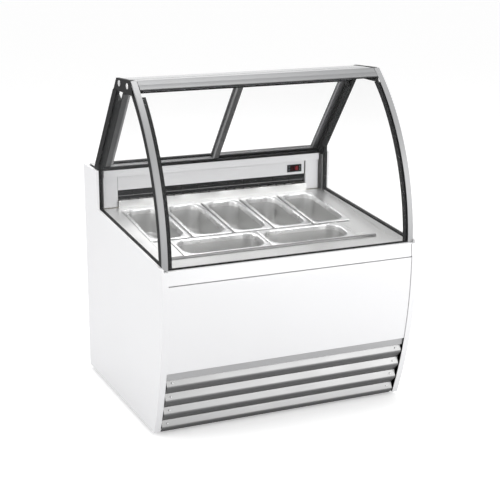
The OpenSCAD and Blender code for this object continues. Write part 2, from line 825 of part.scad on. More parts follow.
module pan_body() {
    // l runs along local y
    difference() {
        union() {
            linear_extrude(rim_h) rounded_rect(pan_w, pan_l, 7);
            translate([0, 0, -pan_d + rim_h]) linear_extrude(pan_d)
                rounded_rect(pan_w - 2 * pan_rim + 2 * pan_t, pan_l - 2 * pan_rim + 2 * pan_t,
                             bowl_r + pan_t);
        }
        translate([0, 0, -pan_d + rim_h + pan_t]) linear_extrude(pan_d + cut)
            rounded_rect(pan_w - 2 * pan_rim, pan_l - 2 * pan_rim, bowl_r);
        // the rim is a thin folded edge
        translate([0, 0, -cut]) linear_extrude(rim_h + cut - pan_t) difference() {
            rounded_rect(pan_w - 2 * pan_t, pan_l - 2 * pan_t, 7 - pan_t);
            rounded_rect(pan_w - 2 * pan_rim + 2 * pan_t, pan_l - 2 * pan_rim + 2 * pan_t,
                         bowl_r + pan_t);
        }
    }
}

module pan(n)
    color(steel) on_deck() {
        if (n <= rear_pans)
            translate([rear_x(n - 1), pan_l / 2, 0.2]) pan_body();
        else
            translate([(n == rear_pans + 1 ? -1 : 1) * (pan_l + front_pan_gap) / 2,
                       front_row_y + pan_w / 2, 0.2])
                rotate([0, 0, 90]) pan_body();
    }

// ---------- machine room ----------

comp_r = 82;
comp_x = -300;
comp_y = 200;

module compressor()
    color(black) {
        translate([comp_x, comp_y, base_z + base_t]) {
            // rubber feet, plate, welded shell with a domed lid
            for (x = [-70, 70], y = [-70, 70])
                translate([x, y, 0]) cylinder(r = 13, h = 16, $fn = round_fn);
            translate([-90, -90, 16]) cube([180, 180, 4]);
            translate([0, 0, 20]) rotate_extrude($fn = round_fn)
                polygon([[0, 0], [comp_r - 18, 0], [comp_r, 20], [comp_r, 130],
                         [comp_r - 14, 158], [comp_r - 44, 174], [0, 180]]);
            translate([comp_r - 12, -28, 60]) cube([34, 56, 62]);
        }
    }

cond_w = 400;
cond_h = 270;
cond_d = 44;
cond_y = fan_y - 62;

module condenser()
    color(dark_steel)
        translate([fan_x - cond_w / 2, cond_y - cond_d, base_z + base_t]) {
            for (x = [0, cond_w - 2]) translate([x, 0, 0]) cube([2, cond_d, cond_h]);
            for (i = [1 : 24])
                translate([i * cond_w / 25, 4, 6]) cube([0.8, cond_d - 8, cond_h - 12]);
            for (j = [0 : 6])
                translate([-6, cond_d / 2, 24 + j * 38]) rotate([0, 90, 0])
                    cylinder(r = 5, h = cond_w + 12, $fn = round_fn);
            // shroud plate behind the fins, with the fan's ring
            translate([0, cond_d, 0]) difference() {
                cube([cond_w, 1.5, cond_h]);
                translate([cond_w / 2, -cut, fan_z - base_z - base_t]) rotate([-90, 0, 0])
                    cylinder(r = fan_r + 8, h = 4, $fn = round_fn);
            }
        }

module fan_motor()
    color(black) {
        translate([fan_x, fan_y + 30, fan_z]) rotate([-90, 0, 0]) difference() {
            union() {
                cylinder(r = 38, h = 60, $fn = round_fn);
                for (a = [0, 120, 240])
                    rotate([0, 0, a - 90]) translate([0, -6, 20]) cube([fan_r + 22, 12, 4]);
            }
            translate([0, 0, -cut]) cylinder(r = axle_r + pin_fit, h = 40, $fn = round_fn);
        }
        // ring and legs that stand on the condenser's plate
        translate([fan_x, cond_y + 1.5, fan_z]) rotate([-90, 0, 0]) difference() {
            cylinder(r = fan_r + 24, h = 116, $fn = round_fn);
            translate([0, 0, -cut]) cylinder(r = fan_r + 21, h = 118, $fn = round_fn);
        }
    }

module fan_blade()
    color(dark_steel)
        translate([fan_x, fan_y, fan_z]) rotate([-90, 0, 0]) {
            cylinder(r = 24, h = 22, $fn = round_fn);
            translate([0, 0, 20]) cylinder(r = axle_r, h = 40, $fn = round_fn);
            for (a = [0 : 72 : 359])
                rotate([0, 0, a]) translate([20, 0, 11]) rotate([28, 0, 0])
                    translate([0, -24, -0.8]) cube([fan_r - 24, 48, 1.6]);
        }

box_x = 300;
box_y = 300;
box_z = 110;
gland_r = 12;

module electrical_box()
    color(dark_grey) {
        translate([box_x - 80, box_y - 60, base_z + base_t]) cube([160, 120, 140]);
        // gland for the supply lead, through the service panel
        translate([box_x, box_y + 59, box_z]) rotate([-90, 0, 0]) difference() {
            cylinder(r = gland_r, h = rear_y - box_y - 59, $fn = round_fn);
            translate([0, 0, 40]) cylinder(r = 5, h = rear_y - box_y, $fn = round_fn);
        }
    }

// A pipe run: straight tubes with round joints
module pipe(points, r)
    for (i = [0 : len(points) - 1]) {
        translate(points[i]) sphere(r = r, $fn = round_fn);
        if (i < len(points) - 1) {
            d = points[i + 1] - points[i];
            l = norm(d);
            translate(points[i]) rotate([0, acos(d[2] / l), atan2(d[1], d[0])])
                cylinder(r = r, h = l, $fn = round_fn);
        }
    }

module refrigerant_pipes()
    color(copper) {
        top = base_z + 210;
        // hot gas from the compressor to the condenser
        pipe([[comp_x + 20, comp_y, top], [comp_x + 20, comp_y, top + 40],
              [comp_x + 20, cond_y + 30, top + 40], [fan_x - cond_w / 2 - 20, cond_y + 30, top + 40],
              [fan_x - cond_w / 2 - 20, cond_y - 20, top + 40]], 4);
        // liquid line with the filter drier
        pipe([[fan_x + cond_w / 2 + 20, cond_y - 20, 60], [fan_x + cond_w / 2 + 20, 80, 60],
              [fan_x + cond_w / 2 + 20, 80, 380]], 3);
        translate([fan_x + cond_w / 2 + 20, 80, 180]) cylinder(r = 12, h = 90, $fn = round_fn);
    }

// ---------- feet ----------

module foot(n)
    color(black)
        translate([(n % 2 == 1 ? -1 : 1) * foot_x, n <= 2 ? foot_front : foot_rear, 0]) {
            cylinder(r = foot_r, h = 9, $fn = round_fn);
            translate([0, 0, 8]) cylinder(r = 11, h = 6, $fn = 6);
            translate([0, 0, 12]) cylinder(r = spindle_r, h = base_z + 22, $fn = round_fn);
        }

// ---------- nodes ----------

side_panel(-1);  // side_panel_left
side_panel(1);  // side_panel_right
front_fascia();
front_panel();
grille_trim();
grille_slats();
grille_screws();
chassis_base();
rear_service_panel();
rear_upper_panel();
rear_ledge();
insulation_foam();
liner_tank();
deck_frame();
pan_bars();
filler_plates();
front_rail();
console_housing();
controller();
air_slot_grille();
evaporator_coil();
side_glass(-1);  // side_glass_left
side_glass(1);  // side_glass_right
side_frame(-1);  // side_frame_left
side_frame(1);  // side_frame_right
end_cap(-1);  // end_cap_left
end_cap(1);  // end_cap_right
cap_fixings();
top_rail();
light_strip();
door_track();
compressor();
condenser();
fan_motor();
refrigerant_pipes();
electrical_box();
fan_blade();
front_glass();
glass_hinge_profile();
glass_edge_strips();
glass_seals();
door_glass(-1);  // door_glass_left
door_glass(1);  // door_glass_right
door_frame(-1);  // door_frame_left
door_frame(1);  // door_frame_right
button(0);  // button_1
button(1);  // button_2
button(2);  // button_3
button(3);  // button_4
pan(1);  // pan_1
pan(2);  // pan_2
pan(3);  // pan_3
pan(4);  // pan_4
pan(5);  // pan_5
pan(6);  // pan_6
pan(7);  // pan_7
foot(1);  // foot_1
foot(2);  // foot_2
foot(3);  // foot_3
foot(4);  // foot_4
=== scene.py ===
"""Looks of an ice cream display freezer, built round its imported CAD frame.

Each class builds one sub-assembly. Lengths are in metres unless a name ends in _mm.
"""

import logging
import math
from collections.abc import Iterable, Sequence
from dataclasses import dataclass
from enum import Enum

import bmesh
import bpy
from mathutils import Matrix, Vector


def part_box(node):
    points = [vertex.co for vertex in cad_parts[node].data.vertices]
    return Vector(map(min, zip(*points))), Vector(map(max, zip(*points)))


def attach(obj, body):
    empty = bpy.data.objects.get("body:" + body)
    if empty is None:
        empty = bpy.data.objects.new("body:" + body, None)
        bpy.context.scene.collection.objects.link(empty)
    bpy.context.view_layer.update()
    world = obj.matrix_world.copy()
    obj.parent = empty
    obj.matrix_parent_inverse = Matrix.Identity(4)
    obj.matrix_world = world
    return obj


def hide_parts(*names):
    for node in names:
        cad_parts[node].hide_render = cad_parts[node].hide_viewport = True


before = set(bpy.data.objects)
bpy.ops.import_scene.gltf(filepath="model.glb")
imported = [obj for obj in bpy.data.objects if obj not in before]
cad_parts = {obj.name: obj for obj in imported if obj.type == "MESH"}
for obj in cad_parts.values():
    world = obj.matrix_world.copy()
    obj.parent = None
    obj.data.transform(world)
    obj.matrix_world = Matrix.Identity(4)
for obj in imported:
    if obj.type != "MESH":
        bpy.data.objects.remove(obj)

MM = 0.001
CREASE_DEG = 32.0
WELD = 1e-6
FLAT_DEG = 0.3
LOG = logging.getLogger("freezer")
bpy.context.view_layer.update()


class Slot(Enum):
    """Material slots of the record that the pieces use."""

    WHITE_PAINT = "white_paint"
    STAINLESS = "stainless"
    PAN_STEEL = "pan_steel"
    ANODISED = "anodised"
    BLACK_RUBBER = "black_rubber"
    BLACK_PLASTIC = "black_plastic"
    GREY_PROFILE = "grey_profile"
    GLASS = "glass"
    GALVANISED = "galvanised"
    FOAM = "foam"
    COPPER = "copper"
    COMPRESSOR_PAINT = "compressor_paint"
    LIGHT_COVER = "light_cover"


class Grain(Enum):
    """Noise scales per metre that draw a metal's grain out along one axis."""

    ALONG_X = (5.0, 1100.0, 1100.0)
    ALONG_Z = (1100.0, 1100.0, 5.0)


# ---------- shader maths ----------


Colour = tuple[float, float, float]


def tone(colour: Colour, factor: float = 1.0) -> tuple[float, float, float, float]:
    """A colour made lighter or darker, with full alpha.

    Args:
        colour: Red, green and blue.
        factor: What each is multiplied by.

    Returns:
        Red, green, blue and alpha.
    """
    return tuple(min(1.0, c * factor) for c in colour) + (1.0,)


class Wire:
    """An output socket that takes part in Python arithmetic."""

    def __init__(self, net: "Net", socket: bpy.types.NodeSocket) -> None:
        """Wraps a socket.

        Args:
            net: The net that the socket is in.
            socket: The output socket.
        """
        self.net, self.socket = net, socket

    def maths(self, operation: str, *terms: "Wire | float") -> "Wire":
        """Adds one Math node.

        Args:
            operation: The node's operation.
            *terms: Its inputs, in order.

        Returns:
            The node's value.
        """
        return self.net.node("ShaderNodeMath", {"operation": operation}, dict(enumerate(terms)))

    def __add__(self, other: "Wire | float") -> "Wire":
        """Sum."""
        return self.maths("ADD", self, other)

    __radd__ = __add__

    def __sub__(self, other: "Wire | float") -> "Wire":
        """Difference."""
        return self.maths("SUBTRACT", self, other)

    def __rsub__(self, other: float) -> "Wire":
        """Difference from a number."""
        return self.maths("SUBTRACT", other, self)

    def __mul__(self, other: "Wire | float") -> "Wire":
        """Product."""
        return self.maths("MULTIPLY", self, other)

    __rmul__ = __mul__

    def __truediv__(self, other: "Wire | float") -> "Wire":
        """Quotient."""
        return self.maths("DIVIDE", self, other)

    def __pow__(self, other: float) -> "Wire":
        """Power."""
        return self.maths("POWER", self, other)

    def limited(self) -> "Wire":
        """The value held between 0 and 1."""
        return self.maths("MINIMUM", self.maths("MAXIMUM", self, 0.0), 1.0)


class Net:
    """The node net of one material."""

    def __init__(self, name: str) -> None:
        """Makes an empty material.

        Args:
            name: The material's name.
        """
        self.material = bpy.data.materials.new(name)
        self.material.use_nodes = True
        self.tree = self.material.node_tree
        self.tree.nodes.clear()

    def node(
        self,
        kind: str,
        settings: dict[str, object] | None = None,
        inputs: dict[str | int, object] | None = None,
        output: str | int = 0,
    ) -> Wire:
        """Adds one node.

        Args:
            kind: The node's type.
            settings: Its properties, set first; "stops" are a ramp's positions and colours.
            inputs: Values or wires for its sockets, by name or number.
            output: The output to return.

        Returns:
            That output as a wire.
        """
        made = self.tree.nodes.new(kind)
        for key, value in (settings or {}).items():
            if key == "stops":
                stops = made.color_ramp.elements
                while len(stops) < len(value):
                    stops.new(1.0)
                for stop, (position, colour) in zip(stops, value):
                    stop.position, stop.color = position, colour
            else:
                setattr(made, key, value)
        for key, value in (inputs or {}).items():
            if isinstance(value, Wire):
                self.tree.links.new(value.socket, made.inputs[key])
            else:
                made.inputs[key].default_value = value
        return Wire(self, made.outputs[output])

    def place(self, scale: Sequence[float] = (1.0, 1.0, 1.0)) -> Wire:
        """Object coordinates, scaled per axis.

        Args:
            scale: The scale along X, Y and Z.

        Returns:
            The scaled coordinates.
        """
        where = self.node("ShaderNodeTexCoord", output="Object")
        return self.node("ShaderNodeMapping", inputs={"Vector": where, "Scale": scale})

    def noise(self, where: Wire, scale: float, detail: float = 2.0) -> Wire:
        """Noise from 0 to 1.

        Args:
            where: Coordinates.
            scale: Cells per metre.
            detail: Octaves.

        Returns:
            The noise's value.
        """
        return self.node(
            "ShaderNodeTexNoise", inputs={"Vector": where, "Scale": scale, "Detail": detail}
        )

    def mix(self, factor: Wire, first: object, second: object) -> Wire:
        """A colour between two colours.

        Args:
            factor: 0 for the first, 1 for the second.
            first: The first colour or wire.
            second: The second colour or wire.

        Returns:
            The mixed colour.
        """
        return self.node(
            "ShaderNodeMix", {"data_type": "RGBA"}, {0: factor, 6: first, 7: second}, 2
        )

    def shaded(self, factor: Wire, colour: Colour, dark: float, light: float = 1.0) -> Wire:
        """A colour that goes from a darker to a lighter tone.

        Args:
            factor: 0 for the darker tone, 1 for the lighter one.
            colour: The colour.
            dark: What the darker tone is multiplied by.
            light: What the lighter tone is multiplied by.

        Returns:
            The mixed colour.
        """
        return self.mix(factor, tone(colour, dark), tone(colour, light))

    def bump(self, height: Wire, strength: float, distance_mm: float) -> Wire:
        """A normal bent by a height.

        Args:
            height: The height, from 0 to 1.
            strength: The share that is applied.
            distance_mm: The real height of 1, in millimetres.

        Returns:
            The bent normal.
        """
        return self.node(
            "ShaderNodeBump",
            inputs={"Height": height, "Strength": strength, "Distance": distance_mm * MM},
        )

    def upness(self) -> Wire:
        """The surface normal's height, from -1 facing down to 1 facing up."""
        normal = self.node("ShaderNodeTexCoord", output="Normal")
        return self.node("ShaderNodeSeparateXYZ", inputs={0: normal}, output=2)

    def close(self, sockets: dict[str, object]) -> bpy.types.Material:
        """Adds the Principled shader and the output.

        Args:
            sockets: Values or wires for the shader.

        Returns:
            The finished material.
        """
        shader = self.node("ShaderNodeBsdfPrincipled", inputs=sockets)
        self.node_output(shader)
        return self.material

    def node_output(self, shader: Wire) -> None:
        """Links a shader to the surface output.

        Args:
            shader: The shader's output.
        """
        last = self.tree.nodes.new("ShaderNodeOutputMaterial")
        self.tree.links.new(shader.socket, last.inputs["Surface"])


# ---------- finishes ----------


@dataclass(frozen=True)
class Finish:
    """A named finish with a base colour and roughness."""

    name: str
    colour: Colour
    roughness: float

    def material(self) -> bpy.types.Material:
        """The finish's material, made on first use."""
        return bpy.data.materials.get(self.name) or self.build(Net(self.name))

    def build(self, net: Net) -> bpy.types.Material:
        """Fills the net.

        Args:
            net: An empty net with the finish's name.

        Returns:
            The finished material.
        """
        raise NotImplementedError


@dataclass(frozen=True)
class Paint(Finish):
    """Powder coat with a faint orange peel and a slight cloudiness."""

    coat: float = 0.25
    peel_scale: float = 380.0
    peel: float = 0.10
    cloud: float = 0.03

    def build(self, net: Net) -> bpy.types.Material:
        """Fills the net."""
        where = net.place()
        cloud = net.noise(where, 3.0, 3.0)
        peel = net.noise(where, self.peel_scale, 2.0)
        speck = net.noise(where, 60.0, 4.0)
        return net.close({
            "Base Color": net.shaded(cloud, self.colour, 1 - self.cloud),
            "Roughness": self.roughness + 0.10 * (speck - 0.5) + 0.06 * (cloud - 0.5),
            "Coat Weight": self.coat,
            "Coat Roughness": 0.12,
            "Normal": net.bump(peel, self.peel, 0.12),
        })


@dataclass(frozen=True)
class Brushed(Finish):
    """Steel or aluminium drawn or brushed along one axis; with under below 1, faces that point
    down get a painted shade.
    """

    grain: Grain = Grain.ALONG_X
    contrast: float = 0.16
    scratch: float = 0.12
    # under, under_from and under_to set a painted shade on faces that point down: its depth and
    # the normal heights over which it fades in.
    under: float = 1.0
    under_from: float = -0.15
    under_to: float = 0.25
    metallic: float = 1.0

    def build(self, net: Net) -> bpy.types.Material:
        """Fills the net."""
        coarse = net.noise(net.place(self.grain.value), 0.35, 3.0)
        fine = net.noise(net.place(self.grain.value), 1.6, 2.0)
        smear = net.noise(net.place(), 7.0, 3.0)
        streak = 0.6 * coarse + 0.4 * fine
        colour = net.shaded(streak, self.colour, 1 - self.contrast, 1 + self.contrast)
        # Painted shade: the colour darkens on faces that point down, by the normal's height.
        if self.under < 1.0:
            lit = ((net.upness() - self.under_from) / (self.under_to - self.under_from)).limited()
            shade = net.shaded(streak, self.colour, self.under * 0.9, self.under * 1.1)
            colour = net.mix(lit, shade, colour)
        return net.close({
            "Base Color": colour,
            "Metallic": self.metallic,
            "Roughness": self.roughness + 0.22 * (streak - 0.5) + 0.10 * (smear - 0.5),
            "Normal": net.bump(streak, self.scratch, 0.05),
        })


@dataclass(frozen=True)
class Anodised(Brushed):
    """Anodised aluminium with hardly any grain."""

    contrast: float = 0.05
    scratch: float = 0.05


@dataclass(frozen=True)
class Satin(Finish):
    """Satin-finished steel with smears from cleaning, and a painted highlight on the rim above a
    plane, where the steel is also a little less rough.
    """

    # Colour of the painted highlight on the rim.
    rim: Colour = (0.92, 0.92, 0.92)
    rim_slope_deg: float = 6.76
    rim_height: float = 0.669
    rim_blend: float = 0.003

    def build(self, net: Net) -> bpy.types.Material:
        """Fills the net."""
        where = net.place()
        smear = net.noise(where, 16.0, 4.0)
        grain = net.noise(where, 1500.0, 2.0)
        slope = math.radians(self.rim_slope_deg)
        height = net.node(
            "ShaderNodeVectorMath", {"operation": "DOT_PRODUCT"},
            {0: where, 1: (0.0, -math.sin(slope), math.cos(slope))}, "Value",
        )
        # Above the rim's plane the colour turns to the rim colour, a painted highlight, and the
        # roughness drops a little.
        top = ((height - self.rim_height) / self.rim_blend).limited()
        satin = net.shaded(smear, self.colour, 0.95, 1.04)
        return net.close({
            "Base Color": net.mix(top, satin, tone(self.rim)),
            "Metallic": 1.0,
            "Roughness": self.roughness + 0.10 * (smear - 0.5) + 0.06 * (grain - 0.5) - 0.08 * top,
            "Normal": net.bump(grain, 0.06, 0.02),
        })


@dataclass(frozen=True)
class Moulded(Finish):
    """Plastic or rubber with a fine moulded texture."""

    texture_scale: float = 900.0
    texture: float = 0.25
    metallic: float = 0.0
    gloss: float = 0.25

    def build(self, net: Net) -> bpy.types.Material:
        """Fills the net."""
        where = net.place()
        cells = net.node(
            "ShaderNodeTexVoronoi", inputs={"Vector": where, "Scale": self.texture_scale}
        )
        dust = net.noise(where, 18.0, 4.0)
        return net.close({
            "Base Color": net.shaded(dust, self.colour, 0.8, 1.25),
            "Metallic": self.metallic,
            "Roughness": self.roughness + 0.16 * (dust - 0.5),
            "Specular IOR Level": self.gloss,
            "Normal": net.bump(cells, self.texture, 0.05),
        })


@dataclass(frozen=True)
class Spangled(Finish):
    """Galvanised sheet with zinc spangles."""

    spangle_scale: float = 75.0

    def build(self, net: Net) -> bpy.types.Material:
        """Fills the net."""
        where = net.place()
        colour = net.node(
            "ShaderNodeTexVoronoi", inputs={"Vector": where, "Scale": self.spangle_scale}, output=1
        )
        grey = net.node("ShaderNodeSeparateColor", inputs={0: colour})
        cloud = net.noise(where, 9.0, 4.0)
        return net.close({
            "Base Color": net.shaded(0.6 * grey + 0.4 * cloud, self.colour, 0.82, 1.15),
            "Metallic": 0.9,
            "Roughness": self.roughness + 0.18 * (grey - 0.5),
            "Normal": net.bump(cloud, 0.1, 0.1),
        })


@dataclass(frozen=True)
class ClearGlass(Finish):
    """Clear glass that shows more at a glancing angle."""

    face: float = 0.014
    edge: float = 0.16

    def build(self, net: Net) -> bpy.types.Material:
        """Fills the net."""
        facing = net.node("ShaderNodeLayerWeight", inputs={"Blend": 0.35}, output="Facing")
        film = net.noise(net.place(), 2.2, 2.0)
        return net.close({
            "Base Color": net.shaded(film, self.colour, 0.96),
            "Roughness": self.roughness + 0.02 * film,
            "Alpha": (self.face + 0.008 * film + self.edge * facing**3.0).limited(),
            "IOR": 1.5,
        })


@dataclass(frozen=True)
class Glow(Finish):
    """A lit surface, such as a lamp cover or a lit figure."""

    strength: float = 1.0

    def build(self, net: Net) -> bpy.types.Material:
        """Fills the net."""
        patch = net.noise(net.place(), 30.0, 2.0)
        lit = net.shaded(patch, self.colour, 0.92)
        return net.close({
            "Base Color": lit,
            "Roughness": self.roughness + 0.1 * patch,
            "Emission Color": lit,
            "Emission Strength": self.strength,
        })


@dataclass(frozen=True)
class Foamed(Finish):
    """Cut rigid foam with open cells."""

    def build(self, net: Net) -> bpy.types.Material:
        """Fills the net."""
        where = net.place()
        cells = net.node("ShaderNodeTexVoronoi", inputs={"Vector": where, "Scale": 420.0})
        cloud = net.noise(where, 14.0, 4.0)
        return net.close({
            "Base Color": net.shaded(cloud, self.colour, 0.85, 1.08),
            "Roughness": self.roughness,
            "Normal": net.bump(cells, 0.6, 0.6),
        })


WHITE = Paint("white_powder_coat", (0.90, 0.90, 0.905), 0.34)
CONSOLE_WHITE = Paint("console_powder_coat", (0.80, 0.80, 0.81), 0.36)
GLOSS_BLACK = Paint("compressor_enamel", (0.02, 0.02, 0.022), 0.25, coat=0.5, cloud=0.3)
DECK = Brushed("deck_steel", (0.76, 0.76, 0.755), 0.40, contrast=0.09, metallic=0.9)
BARS = Brushed("bar_steel", (0.30, 0.30, 0.30), 0.45, contrast=0.10)
# The slats carry a painted shade on their lower faces (under=0.66).
SLAT = Brushed("slat_steel", (0.40, 0.40, 0.40), 0.48, under=0.66, contrast=0.10, metallic=0.85)
TRIM = Brushed("trim_steel", (0.62, 0.62, 0.62), 0.45, contrast=0.08, metallic=0.8)
PAN = Satin("pan_steel_satin", (0.70, 0.70, 0.695), 0.36)
ALUMINIUM = Anodised("anodised_aluminium", (0.44, 0.442, 0.445), 0.50, metallic=0.35)
FLUTED = Anodised("fluted_aluminium", (0.25, 0.252, 0.255), 0.50, contrast=0.06, metallic=0.45)
STRIP = Anodised("anodised_strip", (0.36, 0.362, 0.365), 0.50, Grain.ALONG_Z, metallic=0.5)
BEAD = Anodised("anodised_bead", (0.36, 0.36, 0.365), 0.45, Grain.ALONG_Z, metallic=0.7)
FINS = Brushed("fin_aluminium", (0.58, 0.58, 0.59), 0.40, Grain.ALONG_Z)
BRIGHT = Brushed(
    "bright_fixings", (0.82, 0.82, 0.82), 0.45, contrast=0.04, scratch=0.02, metallic=0.6
)
COPPER = Brushed("copper_tube", (0.70, 0.38, 0.24), 0.30, contrast=0.1)
GREY_PROFILE = Brushed(
    "dark_anodised_profile", (0.13, 0.13, 0.133), 0.42, Grain.ALONG_Z, metallic=0.8
)
GREY_TRACK = Brushed("dark_anodised_track", (0.022, 0.022, 0.023), 0.38, metallic=1.0)
RUBBER = Moulded("black_rubber_seal", (0.012, 0.012, 0.0125), 0.55, gloss=0.2)
BLACK_FRAME = Moulded("black_frame_profile", (0.01, 0.01, 0.0105), 0.48, texture=0.08, gloss=0.16)
PLASTIC = Moulded("black_plastic_textured", (0.012, 0.012, 0.0125), 0.48, gloss=0.18)
KEY_PLASTIC = Moulded("key_plastic", (0.10, 0.10, 0.11), 0.5)
SLOT_BLACK = Moulded("air_slot_black", (0.014, 0.014, 0.0145), 0.55, gloss=0.18)
WINDOW = Moulded("display_window", (0.05, 0.006, 0.008), 0.12, texture=0.0)
GALVANISED = Spangled("galvanised_sheet", (0.50, 0.51, 0.52), 0.42)
GLASS = ClearGlass("clear_glass", (0.30, 0.31, 0.31), 0.03)
FIGURES = Glow("lit_red_figures", (0.55, 0.02, 0.035), 0.3, strength=0.35)
LAMP = Glow("lamp_cover", (0.85, 0.86, 0.9), 0.4, strength=0.2)
FOAM = Foamed("rigid_foam", (0.85, 0.76, 0.50), 0.85)


@dataclass(frozen=True)
class Look:
    """What a piece is made of and what it moves with."""

    finish: Finish
    slot: Slot
    body: str = "cabinet"


# ---------- mesh helpers ----------


def linked(name: str, data: bpy.types.ID) -> bpy.types.Object:
    """An object in the scene that shows some data.

    Args:
        name: The object's name.
        data: Its mesh, camera or light.

    Returns:
        The object.
    """
    thing = bpy.data.objects.new(name, data)
    bpy.context.scene.collection.objects.link(thing)
    return thing


def settle(
    bm: bmesh.types.BMesh,
    name: str,
    look: Look,
    stands_for: Iterable[str] = (),
    crease_deg: float = CREASE_DEG,
) -> bpy.types.Object:
    """Turns a bmesh into a finished piece.

    Args:
        bm: The mesh, in place. It is freed.
        name: The piece's name.
        look: Its finish, slot and body.
        stands_for: CAD nodes that it replaces.
        crease_deg: Edges sharper than this stay sharp.

    Returns:
        The piece.
    """
    for face in bm.faces:
        face.smooth = True
    crease = math.radians(crease_deg)
    for edge in bm.edges:
        edge.smooth = len(edge.link_faces) == 2 and edge.calc_face_angle(0.0) < crease
    mesh = bpy.data.meshes.new(name)
    bm.to_mesh(mesh)
    bm.free()
    if "custom_normal" in mesh.attributes:
        mesh.attributes.remove(mesh.attributes["custom_normal"])
    mesh.materials.clear()
    mesh.materials.append(look.finish.material())
    piece = linked(name, mesh)
    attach(piece, look.body)
    if stands_for:
        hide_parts(*stands_for)
    LOG.info("%s: %d faces, %s, on %s", name, len(mesh.polygons), look.finish.name, look.body)
    return piece


def soften(piece: bpy.types.Object, width_mm: float, segments: int = 2) -> bpy.types.Object:
    """Rounds a piece's sharp edges with a Bevel modifier.

    Args:
        piece: The piece.
        width_mm: The bevel's width in millimetres.
        segments: Its segments.

    Returns:
        The same piece.
    """
    bevel = piece.modifiers.new("soft_edges", "BEVEL")
    bevel.width = width_mm * MM
    bevel.segments = segments
    bevel.limit_method = "ANGLE"
    bevel.angle_limit = math.radians(CREASE_DEG)
    bevel.harden_normals = True
    return piece


def welded(node: str) -> bmesh.types.BMesh:
    """A CAD node's mesh as a merged copy with flat faces joined.

    Args:
        node: The node's name.

    Returns:
        The copy.
    """
    bm = bmesh.new()
    bm.from_mesh(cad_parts[node].data)
    bmesh.ops.remove_doubles(bm, verts=bm.verts, dist=WELD)
    bmesh.ops.dissolve_limit(
        bm, angle_limit=math.radians(FLAT_DEG), verts=bm.verts, edges=bm.edges
    )
    return bm


def dressed(node: str, look: Look, width_mm: float = 0.4, segments: int = 2) -> bpy.types.Object:
    """A CAD node's shape with soft edges and a finish.

    Args:
        node: The node's name.
        look: Its finish, slot and body.
        width_mm: The width of its soft edges in millimetres, or 0 for none.
        segments: Their segments.

    Returns:
        The piece that replaces the node.
    """
    piece = settle(welded(node), f"{node}_finished", look, (node,))
    return soften(piece, width_mm, segments) if width_mm else piece


def block(
    bm: bmesh.types.BMesh, low: Sequence[float], high: Sequence[float]
) -> list[bmesh.types.BMVert]:
    """Adds a box between two corners.

    Args:
        bm: The mesh to add to.
        low: The lowest corner.
        high: The highest corner.

    Returns:
        The box's vertices.
    """
    size = Vector(high) - Vector(low)
    middle = (Vector(high) + Vector(low)) / 2
    where = Matrix.Translation(middle) @ Matrix.Diagonal((*size, 1.0))
    return bmesh.ops.create_cube(bm, size=1.0, matrix=where)["verts"]


def outline(
    bm: bmesh.types.BMesh, width: float, length: float, radius: float, height: float, steps: int
) -> bmesh.types.BMFace:
    """Adds a flat rectangle with round corners, centred on the Z axis.

    Args:
        bm: The mesh to add to.
        width: Its size along X.
        length: Its size along Y.
        radius: Its corner radius.
        height: Its Z.
        steps: Segments in each corner.

    Returns:
        The face.
    """
    where = Matrix.Translation((0, 0, height)) @ Matrix.Diagonal((width, length, 1.0, 1.0))
    grid = bmesh.ops.create_grid(bm, x_segments=1, y_segments=1, size=0.5, matrix=where)
    made = bmesh.ops.bevel(
        bm, geom=grid["verts"], offset=radius, offset_type="OFFSET", segments=steps,
        profile=0.5, affect="VERTICES", material=-1,
    )
    rim = set(made["verts"])
    return next(f for f in rim.copy().pop().link_faces if set(f.verts) <= rim)


def loft(
    bm: bmesh.types.BMesh, rings: Sequence[tuple[float, float, float, float]], steps: int
) -> None:
    """Bridges a row of round-cornered outlines and keeps the last one's face.

    Args:
        bm: An empty mesh.
        rings: Width, length, corner radius and height of each outline.
        steps: Segments in each corner.
    """
    previous: list[bmesh.types.BMEdge] = []
    for number, (width, length, radius, height) in enumerate(rings):
        face = outline(bm, width, length, radius, height, steps)
        edges = list(face.edges)
        if number < len(rings) - 1:
            bmesh.ops.delete(bm, geom=[face], context="FACES_ONLY")
        if previous:
            bmesh.ops.bridge_loops(bm, edges=previous + edges)
        previous = edges


def connected(starts: Iterable[bmesh.types.BMVert]) -> set[bmesh.types.BMVert]:
    """The vertices that edges join to some vertices, with those.

    Args:
        starts: The vertices to start from.

    Returns:
        Every vertex reached.
    """
    reached = set(starts)
    stack = list(reached)
    while stack:
        vert = stack.pop()
        for edge in vert.link_edges:
            other = edge.other_vert(vert)
            if other not in reached:
                reached.add(other)
                stack.append(other)
    return reached


def turned(
    bm: bmesh.types.BMesh, profile: Sequence[tuple[float, float]], steps: int, place: Matrix
) -> None:
    """Adds a turned shape: a profile spun round Z.

    Args:
        bm: The mesh to add to.
        profile: Radius and height of each point; it starts and ends on the axis.
        steps: Segments round the axis.
        place: Where the shape goes.
    """
    points = [bm.verts.new((radius, 0, height)) for radius, height in profile]
    edges = [bm.edges.new(pair) for pair in zip(points, points[1:])]
    bmesh.ops.spin(
        bm, geom=points + edges, cent=(0, 0, 0), axis=(0, 0, 1), dvec=(0, 0, 0),
        angle=math.tau, steps=steps, use_merge=True, use_duplicate=False,
    )
    reached = connected(points)
    bmesh.ops.remove_doubles(bm, verts=list(reached), dist=WELD)
    alive = [v for v in reached if v.is_valid]
    faces = {f for v in alive for f in v.link_faces}
    bmesh.ops.recalc_face_normals(bm, faces=list(faces))
    bmesh.ops.transform(bm, matrix=place, verts=alive)


def facing(direction: Sequence[float]) -> Matrix:
    """The rotation that takes +Z to a direction.

    Args:
        direction: The direction.

    Returns:
        A 4 by 4 rotation.
    """
    return Vector((0, 0, 1)).rotation_difference(Vector(direction)).to_matrix().to_4x4()


